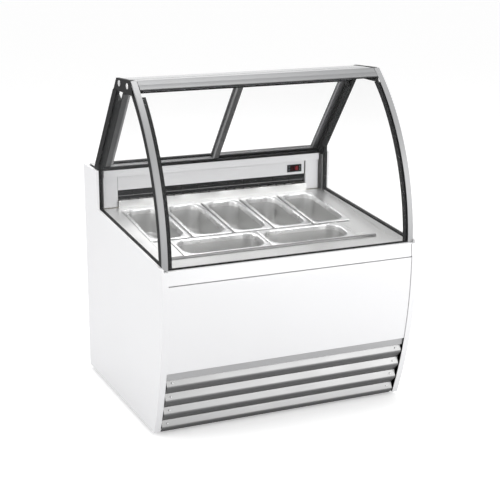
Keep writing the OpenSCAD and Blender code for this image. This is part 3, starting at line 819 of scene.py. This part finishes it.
def islands(bm: bmesh.types.BMesh) -> list[list[bmesh.types.BMVert]]:
    """Groups of connected vertices, sorted by place.

    Args:
        bm: The mesh.

    Returns:
        One list of vertices for each group.
    """
    left, groups = set(bm.verts), []
    while left:
        group = connected([next(iter(left))])
        left -= group
        groups.append(list(group))
    return sorted(groups, key=lambda g: tuple(round(c, 4) for c in middle_of(g)))


def middle_of(verts: Sequence[bmesh.types.BMVert]) -> Vector:
    """The mean place of some vertices.

    Args:
        verts: The vertices.

    Returns:
        Their mean.
    """
    return sum((v.co for v in verts), Vector()) / len(verts)


# ---------- cabinet ----------


@dataclass
class Cabinet:
    """Painted shell, base, tank and feet."""

    edge_mm: float = 1.6
    sheet_edge_mm: float = 0.6
    blade_depth: float = 0.013
    blade_drop: float = 0.009
    blade_t: float = 0.0012
    blade_half_w: float = 0.140
    blade_columns: tuple[float, float] = (-0.250, 0.175)
    blade_rows: int = 10
    blade_from: float = 0.107
    blade_pitch: float = 0.026
    feet: int = 4
    foot_steps: int = 48
    disc_h: float = 0.009
    nut_r: float = 0.011
    nut_h: float = 0.0055
    nut_z: float = 0.0113
    shank_r: float = 0.0048
    shank_from: float = 0.0088
    thread_steps: int = 20
    thread_from: float = 0.0145
    thread_end: float = 0.0025
    thread_pitch: float = 0.0015
    thread_crest: float = 0.0050
    thread_root: float = 0.0044
    tip_r: float = 0.0036
    tip_h: float = 0.0008

    def build(self) -> None:
        """Builds the shell."""
        white = Look(WHITE, Slot.WHITE_PAINT)
        for side in ("left", "right"):
            dressed(f"side_panel_{side}", white, self.edge_mm, 3)
        for node in ("front_fascia", "front_panel", "rear_upper_panel"):
            dressed(node, white, self.sheet_edge_mm)
        zinc = Look(GALVANISED, Slot.GALVANISED)
        dressed("rear_service_panel", zinc, 0.25)
        dressed("chassis_base", zinc, self.sheet_edge_mm)
        dressed("rear_ledge", Look(DECK, Slot.STAINLESS), self.sheet_edge_mm)
        dressed("liner_tank", Look(DECK, Slot.STAINLESS), 0.3)
        dressed("insulation_foam", Look(FOAM, Slot.FOAM), self.edge_mm)
        self.louvre_blades()
        for number in range(1, self.feet + 1):
            self.foot(number)

    def louvre_blades(self) -> None:
        """Slanting blades pressed in behind the service panel's slots."""
        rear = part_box("rear_service_panel")[0].y
        half = self.blade_half_w
        bm = bmesh.new()
        for middle in self.blade_columns:
            for row in range(self.blade_rows):
                top = self.blade_from + row * self.blade_pitch
                verts = block(
                    bm, (middle - half, rear - self.blade_depth, top - self.blade_t),
                    (middle + half, rear, top),
                )
                for vert in verts:
                    if vert.co.y < rear - WELD:
                        vert.co.z -= self.blade_drop
        settle(bm, "louvre_blades", Look(GALVANISED, Slot.GALVANISED))

    def foot(self, number: int) -> None:
        """One levelling foot with a ribbed disc, a hexagon and a threaded spindle.

        Args:
            number: The foot's number.
        """
        node = f"foot_{number}"
        low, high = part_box(node)
        middle = (low + high) / 2
        radius, top = (high.x - low.x) / 2, high.z
        bm = bmesh.new()
        disc = [
            (0, 0), (radius - 0.0015, 0), (radius, 0.0012), (radius, 0.0035),
            (radius - 0.001, 0.0045), (radius - 0.006, 0.0052), (radius - 0.009, 0.0085),
            (0.0085, self.disc_h), (0, self.disc_h),
        ]
        place = Matrix.Translation((middle.x, middle.y, 0))
        turned(bm, disc, self.foot_steps, place)
        thread = [(0, self.shank_from), (self.shank_r, self.shank_from)]
        height = self.thread_from
        while height < top - self.thread_end:
            thread.append((self.thread_crest, height))
            thread.append((self.thread_root, height + self.thread_pitch / 2))
            height += self.thread_pitch
        thread += [(self.thread_root, top - self.tip_h), (self.tip_r, top), (0, top)]
        turned(bm, thread, self.thread_steps, place)
        bmesh.ops.create_cone(
            bm, cap_ends=True, segments=6, radius1=self.nut_r, radius2=self.nut_r,
            depth=self.nut_h, matrix=place @ Matrix.Translation((0, 0, self.nut_z)),
        )
        look = Look(PLASTIC, Slot.BLACK_PLASTIC, f"levelling_foot_{number}")
        soften(settle(bm, f"{node}_finished", look, (node,)), 0.3)


# ---------- front grille ----------


@dataclass
class Grille:
    """Steel trim, four slats and their screws."""

    lean_deg: float = 62.0
    head_r: float = 0.0034
    head_h: float = 0.0014
    head_steps: int = 6
    round_steps: int = 20
    sunk: float = 0.0004
    pit_r: float = 0.0004
    pit_depth: float = 0.0007
    shank_r: float = 0.0018
    shank_h: float = 0.0038
    seat: float = 0.002

    def build(self) -> None:
        """Builds the grille."""
        dressed("grille_trim", Look(TRIM, Slot.STAINLESS), 0.4)
        dressed("grille_slats", Look(SLAT, Slot.STAINLESS), 0.25)
        self.screws()

    def screws(self) -> None:
        """Pan heads with a small pit, where the CAD has its screws."""
        source = welded("grille_screws")
        centres = [middle_of(group) for group in islands(source)]
        source.free()
        lean = math.radians(self.lean_deg)
        out = Vector((0, -math.sin(lean), math.cos(lean)))
        profile = [
            (0, -self.shank_h), (self.shank_r, -self.shank_h),
            (self.shank_r, -self.sunk), (self.head_r, -self.sunk),
        ]
        for step in range(1, self.head_steps):
            angle = step / self.head_steps * math.pi / 2
            radius, height = self.head_r * math.cos(angle), self.head_h * math.sin(angle)
            profile.append((radius, height - self.sunk))
        crown = self.head_h - self.sunk
        pit = crown - self.pit_depth
        profile += [(self.pit_r * 1.5, crown), (self.pit_r, pit), (0, pit)]
        bm = bmesh.new()
        for centre in centres:
            place = Matrix.Translation(centre + out * self.seat) @ facing(out)
            turned(bm, profile, self.round_steps, place)
        settle(bm, "grille_screw_heads", Look(BRIGHT, Slot.STAINLESS), ("grille_screws",))


# ---------- deck and pans ----------


@dataclass
class Deck:
    """Steel deck, its bars, fillers, rail and side strips."""

    strip_t: float = 0.0012
    strip_gap: float = 0.0002
    seal_shows: float = 0.007
    strip_clear: float = 0.010
    level: float = 0.9

    def build(self) -> None:
        """Builds the deck."""
        for side in (-1, 1):
            self.side_strip(side)
        steel = Look(DECK, Slot.STAINLESS)
        dressed("deck_frame", steel, 0.4)
        dressed("pan_bars", Look(BARS, Slot.STAINLESS), 0.5)
        dressed("filler_plates", steel, 0.5)
        dressed("front_rail", Look(BARS, Slot.STAINLESS), 1.0, 3)

    def side_strip(self, side: int) -> None:
        """A steel strip from the deck up to the seal under one side glass.

        Args:
            side: -1 for the left, 1 for the right.
        """
        plate = welded("deck_frame")
        outer = max(v.co.x for v in plate.verts)
        deck = max(plate.faces, key=lambda f: f.calc_area() * (f.normal.z > self.level))
        deck_spot, deck_up = deck.calc_center_median(), deck.normal.copy()
        plate.free()
        glass = welded("side_glass_right")
        foot = max(glass.faces, key=lambda f: f.calc_area() * (f.normal.z < -self.level))
        foot_spot, foot_down = foot.calc_center_median(), foot.normal.copy()
        ends = sorted(v.co.y for v in foot.verts)
        glass.free()
        skin = outer - self.strip_gap
        near, far = sorted((side * skin, side * (skin - self.strip_t)))
        bm = bmesh.new()
        block(bm, (near, ends[0] + self.strip_clear, 0.0), (far, ends[-1] - self.strip_clear, 1.0))
        # The block is one metre high, and each corner is then moved to its own height.
        for vert in bm.verts:
            deck_z = deck_spot.z - (vert.co.y - deck_spot.y) * deck_up.y / deck_up.z
            foot_z = foot_spot.z - (vert.co.y - foot_spot.y) * foot_down.y / foot_down.z
            high = max(foot_z - self.seal_shows, deck_z + self.seal_shows / 2)
            vert.co.z = high if vert.co.z > 0.5 else deck_z
        name = f"deck_side_strip_{'left' if side < 0 else 'right'}"
        settle(bm, name, Look(DECK, Slot.STAINLESS))


# Inset from the rim's edge and drop below its top of each outline of the folded edge.
FOLD_RINGS = ((0.0, 0.0037), (0.0, 0.0012), (0.0004, 0.0004), (0.0013, 0.0))
# Inset past the rim, growth of the corner radius and drop of each outline of the mouth.
MOUTH_RINGS = (
    (-0.0035, 0.0020, 0.0), (-0.0012, 0.0012, 0.0006), (-0.0002, 0.0002, 0.0020),
    (0.0003, -0.0003, 0.0045),
)


@dataclass
class Pans:
    """Seven drawn steel pans."""

    tilt_deg: float = 6.76
    count: int = 7
    rear_row: int = 5
    width: float = 0.165
    length: float = 0.360
    depth: float = 0.120
    rim_h: float = 0.004
    rim: float = 0.013
    mouth_r: float = 0.052
    outer_r: float = 0.007
    draft: float = 0.004
    floor_r: float = 0.024
    sheet: float = 0.0011
    steps: int = 12
    floor_steps: int = 6
    crease_deg: float = 45.0

    def rings(self) -> list[tuple[float, float, float, float]]:
        """The pan's outlines from the folded edge to the floor.

        Returns:
            Width, length, corner radius and height of each outline.
        """
        found = []

        def ring(inset: float, radius: float, height: float) -> None:
            """Adds an outline at an inset from the rim's edge."""
            found.append((self.width - 2 * inset, self.length - 2 * inset, radius, height))

        top = self.rim_h
        for inset, drop in FOLD_RINGS:
            ring(inset, self.outer_r - inset, top - drop)
        for past, growth, drop in MOUTH_RINGS:
            ring(self.rim + past, self.mouth_r + growth, top - drop)
        bottom = top - self.depth + self.sheet
        wall_end = bottom + self.floor_r
        ring(self.rim + self.draft, self.mouth_r - self.draft, wall_end)
        for step in range(1, self.floor_steps + 1):
            angle = step / self.floor_steps * math.pi / 2
            inset = self.rim + self.draft + self.floor_r * (1 - math.cos(angle))
            height = bottom + self.floor_r * (1 - math.sin(angle))
            ring(inset, self.mouth_r - (inset - self.rim), height)
        return found

    def build(self) -> None:
        """Builds every pan."""
        for number in range(1, self.count + 1):
            self.pan(number)

    def pan(self, number: int) -> None:
        """One pan.

        Args:
            number: The pan's number, counted from the rear row's left.
        """
        node = f"pan_{number}"
        bm = bmesh.new()
        loft(bm, self.rings(), self.steps)
        bmesh.ops.recalc_face_normals(bm, faces=bm.faces)
        floor = min(bm.faces, key=lambda f: f.calc_center_median().z)
        if floor.normal.z < 0:
            bmesh.ops.reverse_faces(bm, faces=bm.faces)
        turn = 0.0 if number <= self.rear_row else 90.0
        tilt = Matrix.Rotation(math.radians(self.tilt_deg), 4, "X")
        bmesh.ops.transform(
            bm, matrix=tilt @ Matrix.Rotation(math.radians(turn), 4, "Z"), verts=bm.verts
        )
        low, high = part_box(node)
        have_x = [v.co.x for v in bm.verts]
        shift = Vector((
            (low.x + high.x) / 2 - (min(have_x) + max(have_x)) / 2,
            high.y - max(v.co.y for v in bm.verts), high.z - max(v.co.z for v in bm.verts),
        ))
        bmesh.ops.translate(bm, vec=shift, verts=bm.verts)
        look = Look(PAN, Slot.PAN_STEEL, f"ice_cream_pan_{number}")
        piece = settle(bm, f"{node}_finished", look, (node,), self.crease_deg)
        wall = piece.modifiers.new("sheet", "SOLIDIFY")
        wall.thickness = self.sheet
        wall.offset = -1.0
        wall.use_even_offset = True


# ---------- console ----------


class Segment(Enum):
    """Bars of a lit figure: middle x and z as shares of its size, and whether the bar stands."""

    TOP = (0.0, 1.0, False)
    MIDDLE = (0.0, 0.0, False)
    BOTTOM = (0.0, -1.0, False)
    UPPER_LEFT = (-1.0, 0.5, True)
    UPPER_RIGHT = (1.0, 0.5, True)
    LOWER_LEFT = (-1.0, -0.5, True)
    LOWER_RIGHT = (1.0, -0.5, True)


FIGURE_BARS: dict[str, tuple[Segment, ...]] = {
    "-": (Segment.MIDDLE,),
    "1": (Segment.UPPER_RIGHT, Segment.LOWER_RIGHT),
    "8": tuple(Segment),
}


# Growth, corner radius and height of each outline round the display's window.
BEZEL_RINGS = (
    (0.004, 0.0025, -0.0002), (0.003, 0.0020, 0.0004), (0.0012, 0.0012, 0.0004),
    (0.0, 0.0008, 0.00005),
)
# Inset, corner radius, share of the depth and dip of each outline of a key.
KEY_RINGS = (
    (0.0, 0.0008, 0.0, 0.0), (0.0, 0.0008, 0.75, 0.0), (0.0004, 0.0009, 0.92, 0.0),
    (0.0014, 0.0008, 1.0, 0.0), (0.0034, 0.0006, 1.0, 0.0002),
)


@dataclass
class Console:
    """Rear console with its controller, keys and air slot."""

    figures: str = "-18"
    figure_w: float = 0.0070
    figure_h: float = 0.0135
    figure_gap: float = 0.0112
    figure_out: float = 0.00045
    figure_back: float = 0.00005
    bar: float = 0.0017
    bar_trim: float = 0.55
    bar_chamfer: float = 0.42
    window_w: float = 0.038
    window_h: float = 0.021
    bezel_steps: int = 5
    keys: int = 4
    key_steps: int = 4
    slot_back: float = 0.002
    slot_edge: float = 0.001
    slot_lap: float = 0.001
    blades: int = 6
    blade_set: float = 0.0005
    blade_t: float = 0.0014
    blade_rise: float = 0.0016
    posts: int = 13
    post_w: float = 0.002
    post_set: float = 0.002
    post_inset: float = 0.004
    strip_share: float = 0.31
    strip_h: float = 0.0016
    strip_half_d: float = 0.0006
    strip_inset: float = 0.001
    lip_h: float = 0.029
    gap_w: float = 0.003
    gap_out: float = 0.0018
    gap_in: float = 0.0002
    gap_clear: float = 0.0003

    def build(self) -> None:
        """Builds the console."""
        dressed("console_housing", Look(CONSOLE_WHITE, Slot.WHITE_PAINT), 0.7, 3)
        low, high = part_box("controller")
        front = Vector(((low.x + high.x) / 2, low.y, (low.z + high.z) / 2))
        self.controller(front)
        self.lit_figures(front)
        for number in range(1, self.keys + 1):
            self.key(number)
        self.air_slot()
        dressed("evaporator_coil", Look(FINS, Slot.ANODISED), 0)

    def controller(self, front: Vector) -> None:
        """The controller's body with a rounded bezel and a sunk window.

        Args:
            front: The middle of the controller's front.
        """
        look = Look(PLASTIC, Slot.BLACK_PLASTIC)
        dressed("controller", look, 0.6, 3)
        place = Matrix.Translation(front) @ facing((0, -1, 0))
        bm = bmesh.new()
        rings = [
            (self.window_w + more, self.window_h + more, radius, height)
            for more, radius, height in BEZEL_RINGS
        ]
        loft(bm, rings, self.bezel_steps)
        bmesh.ops.recalc_face_normals(bm, faces=bm.faces)
        bmesh.ops.transform(bm, matrix=place, verts=bm.verts)
        if sum(f.normal.y for f in bm.faces) > 0:
            bmesh.ops.reverse_faces(bm, faces=bm.faces)
        settle(bm, "display_window", Look(WINDOW, Slot.BLACK_PLASTIC))

    def lit_figures(self, front: Vector) -> None:
        """Lit bars that form a temperature.

        Args:
            front: The middle of the controller's front.
        """
        start = -self.figure_gap * (len(self.figures) - 1) / 2
        bm = bmesh.new()
        for place, figure in enumerate(self.figures):
            for segment in FIGURE_BARS[figure]:
                across, up, stands = segment.value
                x = front.x + start + place * self.figure_gap + across * self.figure_w / 2
                z = front.z + up * self.figure_h / 2
                length = self.figure_h / 4 if stands else self.figure_w / 2
                half = (self.bar / 2, length - self.bar * self.bar_trim)
                half_x, half_z = half if stands else reversed(half)
                block(
                    bm, (x - half_x, front.y - self.figure_out, z - half_z),
                    (x + half_x, front.y - self.figure_back, z + half_z),
                )
        thin = (self.figure_out - self.figure_back) / 2
        bmesh.ops.bevel(
            bm, geom=[e for e in bm.edges if abs((e.verts[0].co - e.verts[1].co).y) > thin],
            offset=self.bar * self.bar_chamfer, offset_type="OFFSET", segments=1, profile=0.5,
            affect="EDGES", material=-1,
        )
        settle(bm, "display_figures", Look(FIGURES, Slot.BLACK_PLASTIC))

    def key(self, number: int) -> None:
        """One key with a rounded cap.

        Args:
            number: The key's number.
        """
        node = f"button_{number}"
        low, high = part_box(node)
        size = high - low
        rings = [
            (size.x - inset, size.z - inset, radius, size.y * share - dip)
            for inset, radius, share, dip in KEY_RINGS
        ]
        bm = bmesh.new()
        loft(bm, rings, self.key_steps)
        back = [e for e in bm.edges if len(e.link_faces) == 1]
        bmesh.ops.contextual_create(bm, geom=back)
        bmesh.ops.recalc_face_normals(bm, faces=bm.faces)
        middle = (low + high) / 2
        place = Matrix.Translation((middle.x, high.y, middle.z)) @ facing((0, -1, 0))
        bmesh.ops.transform(bm, matrix=place, verts=bm.verts)
        look = Look(KEY_PLASTIC, Slot.BLACK_PLASTIC, f"key_{number}")
        settle(bm, f"{node}_finished", look, (node,))

    def air_slot(self) -> None:
        """Slanting blades in the air slot, with a bright bar across its middle."""
        node = "air_slot_grille"
        low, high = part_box(node)
        back = high.y - self.slot_lap
        bm = bmesh.new()
        block(bm, (low.x, high.y - self.slot_back, low.z), (high.x, high.y, high.z))
        step = (high.z - low.z - 4 * self.slot_edge) / (self.blades - 1)
        for number in range(self.blades):
            z = low.z + self.slot_edge + number * step
            verts = block(
                bm, (low.x, low.y + self.blade_set, z), (high.x, back, z + self.blade_t)
            )
            for vert in verts:
                if vert.co.y < (low.y + high.y) / 2:
                    vert.co.z += self.blade_rise
        step = (high.x - low.x - 2 * self.post_inset - self.post_w) / (self.posts - 1)
        for number in range(self.posts):
            x = low.x + self.post_inset + number * step
            block(bm, (x, low.y + self.post_set, low.z), (x + self.post_w, back, high.z))
        settle(bm, f"{node}_finished", Look(SLOT_BLACK, Slot.BLACK_PLASTIC), (node,))
        bm = bmesh.new()
        strip_z = low.z + (high.z - low.z) * self.strip_share
        block(
            bm, (low.x + self.strip_inset, low.y - self.strip_half_d, strip_z),
            (high.x - self.strip_inset, low.y + self.strip_half_d, strip_z + self.strip_h),
        )
        soften(settle(bm, "air_slot_bar", Look(BEAD, Slot.ANODISED)), 0.3)
        self.panel_gaps(low.x, high.x, low.y, high.z)

    def panel_gaps(self, left: float, right: float, front: float, bottom: float) -> None:
        """Black strips that paint the shadow in the gaps between the recessed panel's ends and the
        pillars.

        Args:
            left: The air slot's left end.
            right: The air slot's right end.
            front: The air slot's front.
            bottom: The air slot's top edge, where the panel starts.
        """
        bm = bmesh.new()
        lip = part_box("console_housing")[1].z - self.lip_h
        for x in (left + self.gap_w / 2, right - self.gap_w / 2):
            block(
                bm, (x - self.gap_w / 2, front - self.gap_out, bottom + self.gap_clear),
                (x + self.gap_w / 2, front + self.gap_in, lip - self.gap_clear),
            )
        # The black strips are painted shadow for the gaps beside the pillars.
        settle(bm, "panel_end_painted_shadows", Look(RUBBER, Slot.BLACK_RUBBER))


# ---------- glasshouse ----------


# Shares of a disc's radius and height, from its dome's edge to the middle of its pit.
DISC_PIT = ((0.34, 1.0), (0.30, 0.55), (0.0, 0.5))


@dataclass
class Glasshouse:
    """Side glasses, frames, caps, rail, doors and the lifting front glass."""

    disc_r: float = 0.0115
    disc_h: float = 0.0026
    disc_stem: float = 0.004
    disc_stem_r: float = 0.0092
    disc_reach: float = 0.9
    disc_steps: int = 7
    round_steps: int = 32
    ridge: float = 0.0015
    flute_h: float = 0.0030
    flute_floor: float = 0.0003
    flute_steps: int = 10
    sunk: float = 0.0003
    strip_w: float = 0.0205
    bead_w: float = 0.008
    bead_h: float = 0.0011

    def build(self) -> None:
        """Builds the superstructure."""
        for side in ("left", "right"):
            dressed(f"side_glass_{side}", Look(GLASS, Slot.GLASS), 0)
            dressed(f"side_frame_{side}", Look(BLACK_FRAME, Slot.BLACK_RUBBER), 0.6)
            dressed(f"end_cap_{side}", Look(PLASTIC, Slot.BLACK_PLASTIC), 1.2, 3)
            door = f"rear_door_{side}"
            dressed(f"door_frame_{side}", Look(GREY_PROFILE, Slot.GREY_PROFILE, door), 0.8, 3)
            dressed(f"door_glass_{side}", Look(GLASS, Slot.GLASS, door), 0)
        dressed("top_rail", Look(ALUMINIUM, Slot.ANODISED), 1.2, 3)
        dressed("light_strip", Look(LAMP, Slot.LIGHT_COVER), 1.5, 3)
        dressed("door_track", Look(GREY_TRACK, Slot.GREY_PROFILE), 0.4)
        lift = "front_glass_frame"
        dressed("front_glass", Look(GLASS, Slot.GLASS, lift), 0)
        dressed("glass_hinge_profile", Look(ALUMINIUM, Slot.ANODISED, lift), 0.8, 3)
        dressed("glass_edge_strips", Look(STRIP, Slot.ANODISED, lift), 0.4)
        dressed("glass_seals", Look(RUBBER, Slot.BLACK_RUBBER, lift), 0.4)
        self.discs()
        self.flutes()
        for side in ("left", "right"):
            self.beads(side)

    def flutes(self) -> None:
        """Two concave flutes along the front of the hinge profile."""
        profile = welded("glass_hinge_profile")
        top = max(profile.verts, key=lambda v: v.co.z).co.yz
        foot = min(profile.verts, key=lambda v: v.co.y).co.yz
        profile.free()
        run = foot - top
        length = run.length
        along = run / length
        out = Vector((along.y, -along.x))
        if out.x > 0:
            out.negate()
        flute = (length - 3 * self.ridge) / 2
        shoulder = self.flute_h - self.ridge / 2
        section = [(0.0, -self.sunk), (0.0, shoulder), (self.ridge / 2, self.flute_h)]
        for number in range(2):
            start = self.ridge + number * (flute + self.ridge)
            for step in range(self.flute_steps + 1):
                share = step / self.flute_steps
                dip = math.sin(math.pi * share) * (self.flute_h - self.flute_floor)
                section.append((start + share * flute, self.flute_h - dip))
        section += [(length - self.ridge / 2, self.flute_h), (length, shoulder)]
        section.append((length, -self.sunk))
        low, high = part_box("front_glass")
        inset = self.strip_w
        bm = bmesh.new()
        points = [top + along * far + out * off for far, off in section]
        verts = [bm.verts.new((low.x + inset, point.x, point.y)) for point in points]
        face = bmesh.ops.contextual_create(bm, geom=verts)["faces"]
        made = bmesh.ops.extrude_face_region(bm, geom=face)["geom"]
        moved = [v for v in made if isinstance(v, bmesh.types.BMVert)]
        bmesh.ops.translate(bm, vec=(high.x - low.x - 2 * inset, 0, 0), verts=moved)
        bmesh.ops.recalc_face_normals(bm, faces=bm.faces)
        settle(bm, "hinge_profile_flutes", Look(FLUTED, Slot.ANODISED, "front_glass_frame"))

    def beads(self, side: str) -> None:
        """Light glazing beads round one door's glass, on its inner face.

        Args:
            side: "left" or "right".
        """
        glass = welded(f"door_glass_{side}")
        normal = max(glass.faces, key=lambda f: f.calc_area()).normal.copy()
        if normal.y < 0:
            normal.negate()
        turn = Matrix.Rotation(math.atan2(normal.z, normal.y), 4, "X")
        flat = turn.inverted()
        corners = [flat @ v.co for v in glass.verts]
        glass.free()
        low = Vector(min(c[axis] for c in corners) for axis in range(3))
        high = Vector(max(c[axis] for c in corners) for axis in range(3))
        leaf = welded(f"door_frame_{side}")
        face_y = min((flat @ v.co).y for v in leaf.verts)
        leaf.free()
        wide, narrow = self.bead_w, self.bead_w / 2
        back, front = face_y - self.bead_h, face_y + self.sunk
        bm = bmesh.new()
        for x0, x1, z0, z1 in (
            (low.x - wide, low.x, low.z - wide, high.z + narrow),
            (high.x, high.x + wide, low.z - wide, high.z + narrow),
            (low.x, high.x, low.z - wide, low.z),
            (low.x, high.x, high.z, high.z + narrow),
        ):
            block(bm, (x0, back, z0), (x1, front, z1))
        bmesh.ops.transform(bm, matrix=turn, verts=bm.verts)
        look = Look(BEAD, Slot.GREY_PROFILE, f"rear_door_{side}")
        soften(settle(bm, f"glazing_beads_{side}", look), 0.3)

    def discs(self) -> None:
        """Domed discs over the pivots and the rail's screws."""
        fixings = welded("cap_fixings")
        spots = [middle_of(group) for group in islands(fixings)]
        fixings.free()
        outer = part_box("end_cap_right")[1].x
        height = spots[0].z
        hinge = welded("glass_hinge_profile")
        pivot_y = middle_of([v for v in hinge.verts if v.co.x > outer]).y
        hinge.free()
        profile = [(0, -self.disc_stem), (self.disc_stem_r, -self.disc_stem), (self.disc_r, 0.0)]
        for step in range(1, self.disc_steps):
            angle = step / self.disc_steps * math.pi / 2
            radius = self.disc_r * math.cos(angle * self.disc_reach)
            profile.append((radius, self.disc_h * math.sin(angle)))
        profile += [(self.disc_r * r, self.disc_h * h) for r, h in DISC_PIT]
        for name, body, y in (
            ("pivot_discs", "front_glass_frame", pivot_y), ("rail_discs", "cabinet", spots[0].y),
        ):
            bm = bmesh.new()
            for side in (-1, 1):
                place = Matrix.Translation((side * outer, y, height)) @ facing((side, 0, 0))
                turned(bm, profile, self.round_steps, place)
            settle(bm, name, Look(BRIGHT, Slot.ANODISED, body))
        dressed("cap_fixings", Look(BRIGHT, Slot.ANODISED), 0.2)


# ---------- machine room ----------


@dataclass
class MachineRoom:
    """Compressor, condenser, fan, pipes and electrical box."""

    def build(self) -> None:
        """Builds the machine room."""
        dressed("compressor", Look(GLOSS_BLACK, Slot.COMPRESSOR_PAINT), 3.0, 4)
        dressed("condenser", Look(FINS, Slot.GALVANISED), 0)
        dressed("fan_motor", Look(PLASTIC, Slot.BLACK_PLASTIC), 1.0)
        dressed("refrigerant_pipes", Look(COPPER, Slot.COPPER), 0)
        dressed("electrical_box", Look(PLASTIC, Slot.BLACK_PLASTIC), 2.0, 3)
        dressed("fan_blade", Look(GALVANISED, Slot.GALVANISED, "fan"), 0.3)


# ---------- studio ----------


# Name, place, aim, size and power of each soft box.
SOFT_BOXES = (
    ("key_box", (2.2, -3.6, 1.5), (0.1, 0.0, 0.5), 2.8, 84.0),
    ("left_box", (-4.0, 0.0, 1.8), (-0.4, 0.0, 0.6), 2.4, 58.0),
    ("top_box", (0.2, 0.4, 4.2), (0.0, 0.0, 0.6), 2.4, 70.0),
    ("rear_box", (0.6, 3.4, 4.8), (0.0, 0.0, 0.8), 2.4, 60.0),
)


@dataclass
class Studio:
    """Camera, pale floor and soft light."""

    place: Colour = (-1.963, -4.408, 1.908)
    yaw_deg: float = 24.235
    pitch_deg: float = 15.380
    roll_deg: float = 0.145
    focal_mm: float = 89.46
    sensor_mm: float = 36.0
    floor_size: float = 120.0
    air_strength: float = 0.74

    def camera(self) -> None:
        """Sets the camera."""
        data = bpy.data.cameras.new("studio_camera")
        data.sensor_width = self.sensor_mm
        data.lens = self.focal_mm
        data.clip_end = 200.0
        seen = linked("studio_camera", data)
        turn = Matrix.Rotation(math.radians(-self.yaw_deg), 4, "Z")
        nod = Matrix.Rotation(math.radians(90.0 - self.pitch_deg), 4, "X")
        roll = Matrix.Rotation(math.radians(self.roll_deg), 4, "Z")
        seen.matrix_world = Matrix.Translation(self.place) @ turn @ nod @ roll
        bpy.context.scene.camera = seen

    def floor(self) -> None:
        """Lays a pale floor that mirrors as a darker one, so that metal has contrast."""
        bm = bmesh.new()
        bmesh.ops.create_grid(bm, x_segments=1, y_segments=1, size=self.floor_size / 2)
        mesh = bpy.data.meshes.new("studio_floor")
        bm.to_mesh(mesh)
        bm.free()
        net = Net("studio_floor_paint")
        seen = net.node("ShaderNodeLightPath", output="Is Camera Ray")
        pale = net.node("ShaderNodeBsdfPrincipled", inputs={
            "Base Color": (0.86, 0.86, 0.86, 1.0), "Roughness": 0.9,
            "Emission Color": (1.0, 1.0, 1.0, 1.0), "Emission Strength": 0.34,
        })
        dull = net.node("ShaderNodeBsdfPrincipled", inputs={
            "Base Color": (0.50, 0.50, 0.51, 1.0), "Roughness": 0.9,
        })
        net.node_output(net.node("ShaderNodeMixShader", inputs={0: seen, 1: dull, 2: pale}))
        mesh.materials.append(net.material)
        linked("studio_floor", mesh)

    def lamp(self, name: str, place: Colour, aim: Colour, size: float, watts: float) -> None:
        """Adds one soft box.

        Args:
            name: Its name.
            place: Where it stands.
            aim: What it points at.
            size: The side of its square.
            watts: Its power.
        """
        data = bpy.data.lights.new(name, "AREA")
        data.size = size
        data.energy = watts
        turn = (Vector(aim) - Vector(place)).to_track_quat("-Z", "Y").to_matrix().to_4x4()
        linked(name, data).matrix_world = Matrix.Translation(place) @ turn

    def build(self) -> None:
        """Builds the studio."""
        self.camera()
        self.floor()
        world = bpy.data.worlds.new("studio_air")
        world.use_nodes = True
        air = world.node_tree.nodes["Background"].inputs
        air["Color"].default_value = (1, 1, 1, 1)
        air["Strength"].default_value = self.air_strength
        bpy.context.scene.world = world
        for lamp in SOFT_BOXES:
            self.lamp(*lamp)
        bpy.context.scene.view_settings.view_transform = "Standard"


def main() -> None:
    """Builds the freezer and its studio."""
    logging.basicConfig(level=logging.INFO, format="%(name)s: %(message)s")
    Studio().build()
    for part in (Cabinet(), Grille(), Deck(), Pans(), Console(), Glasshouse(), MachineRoom()):
        LOG.info("building %s", type(part).__name__)
        part.build()


if __name__ == "__main__":
    main()
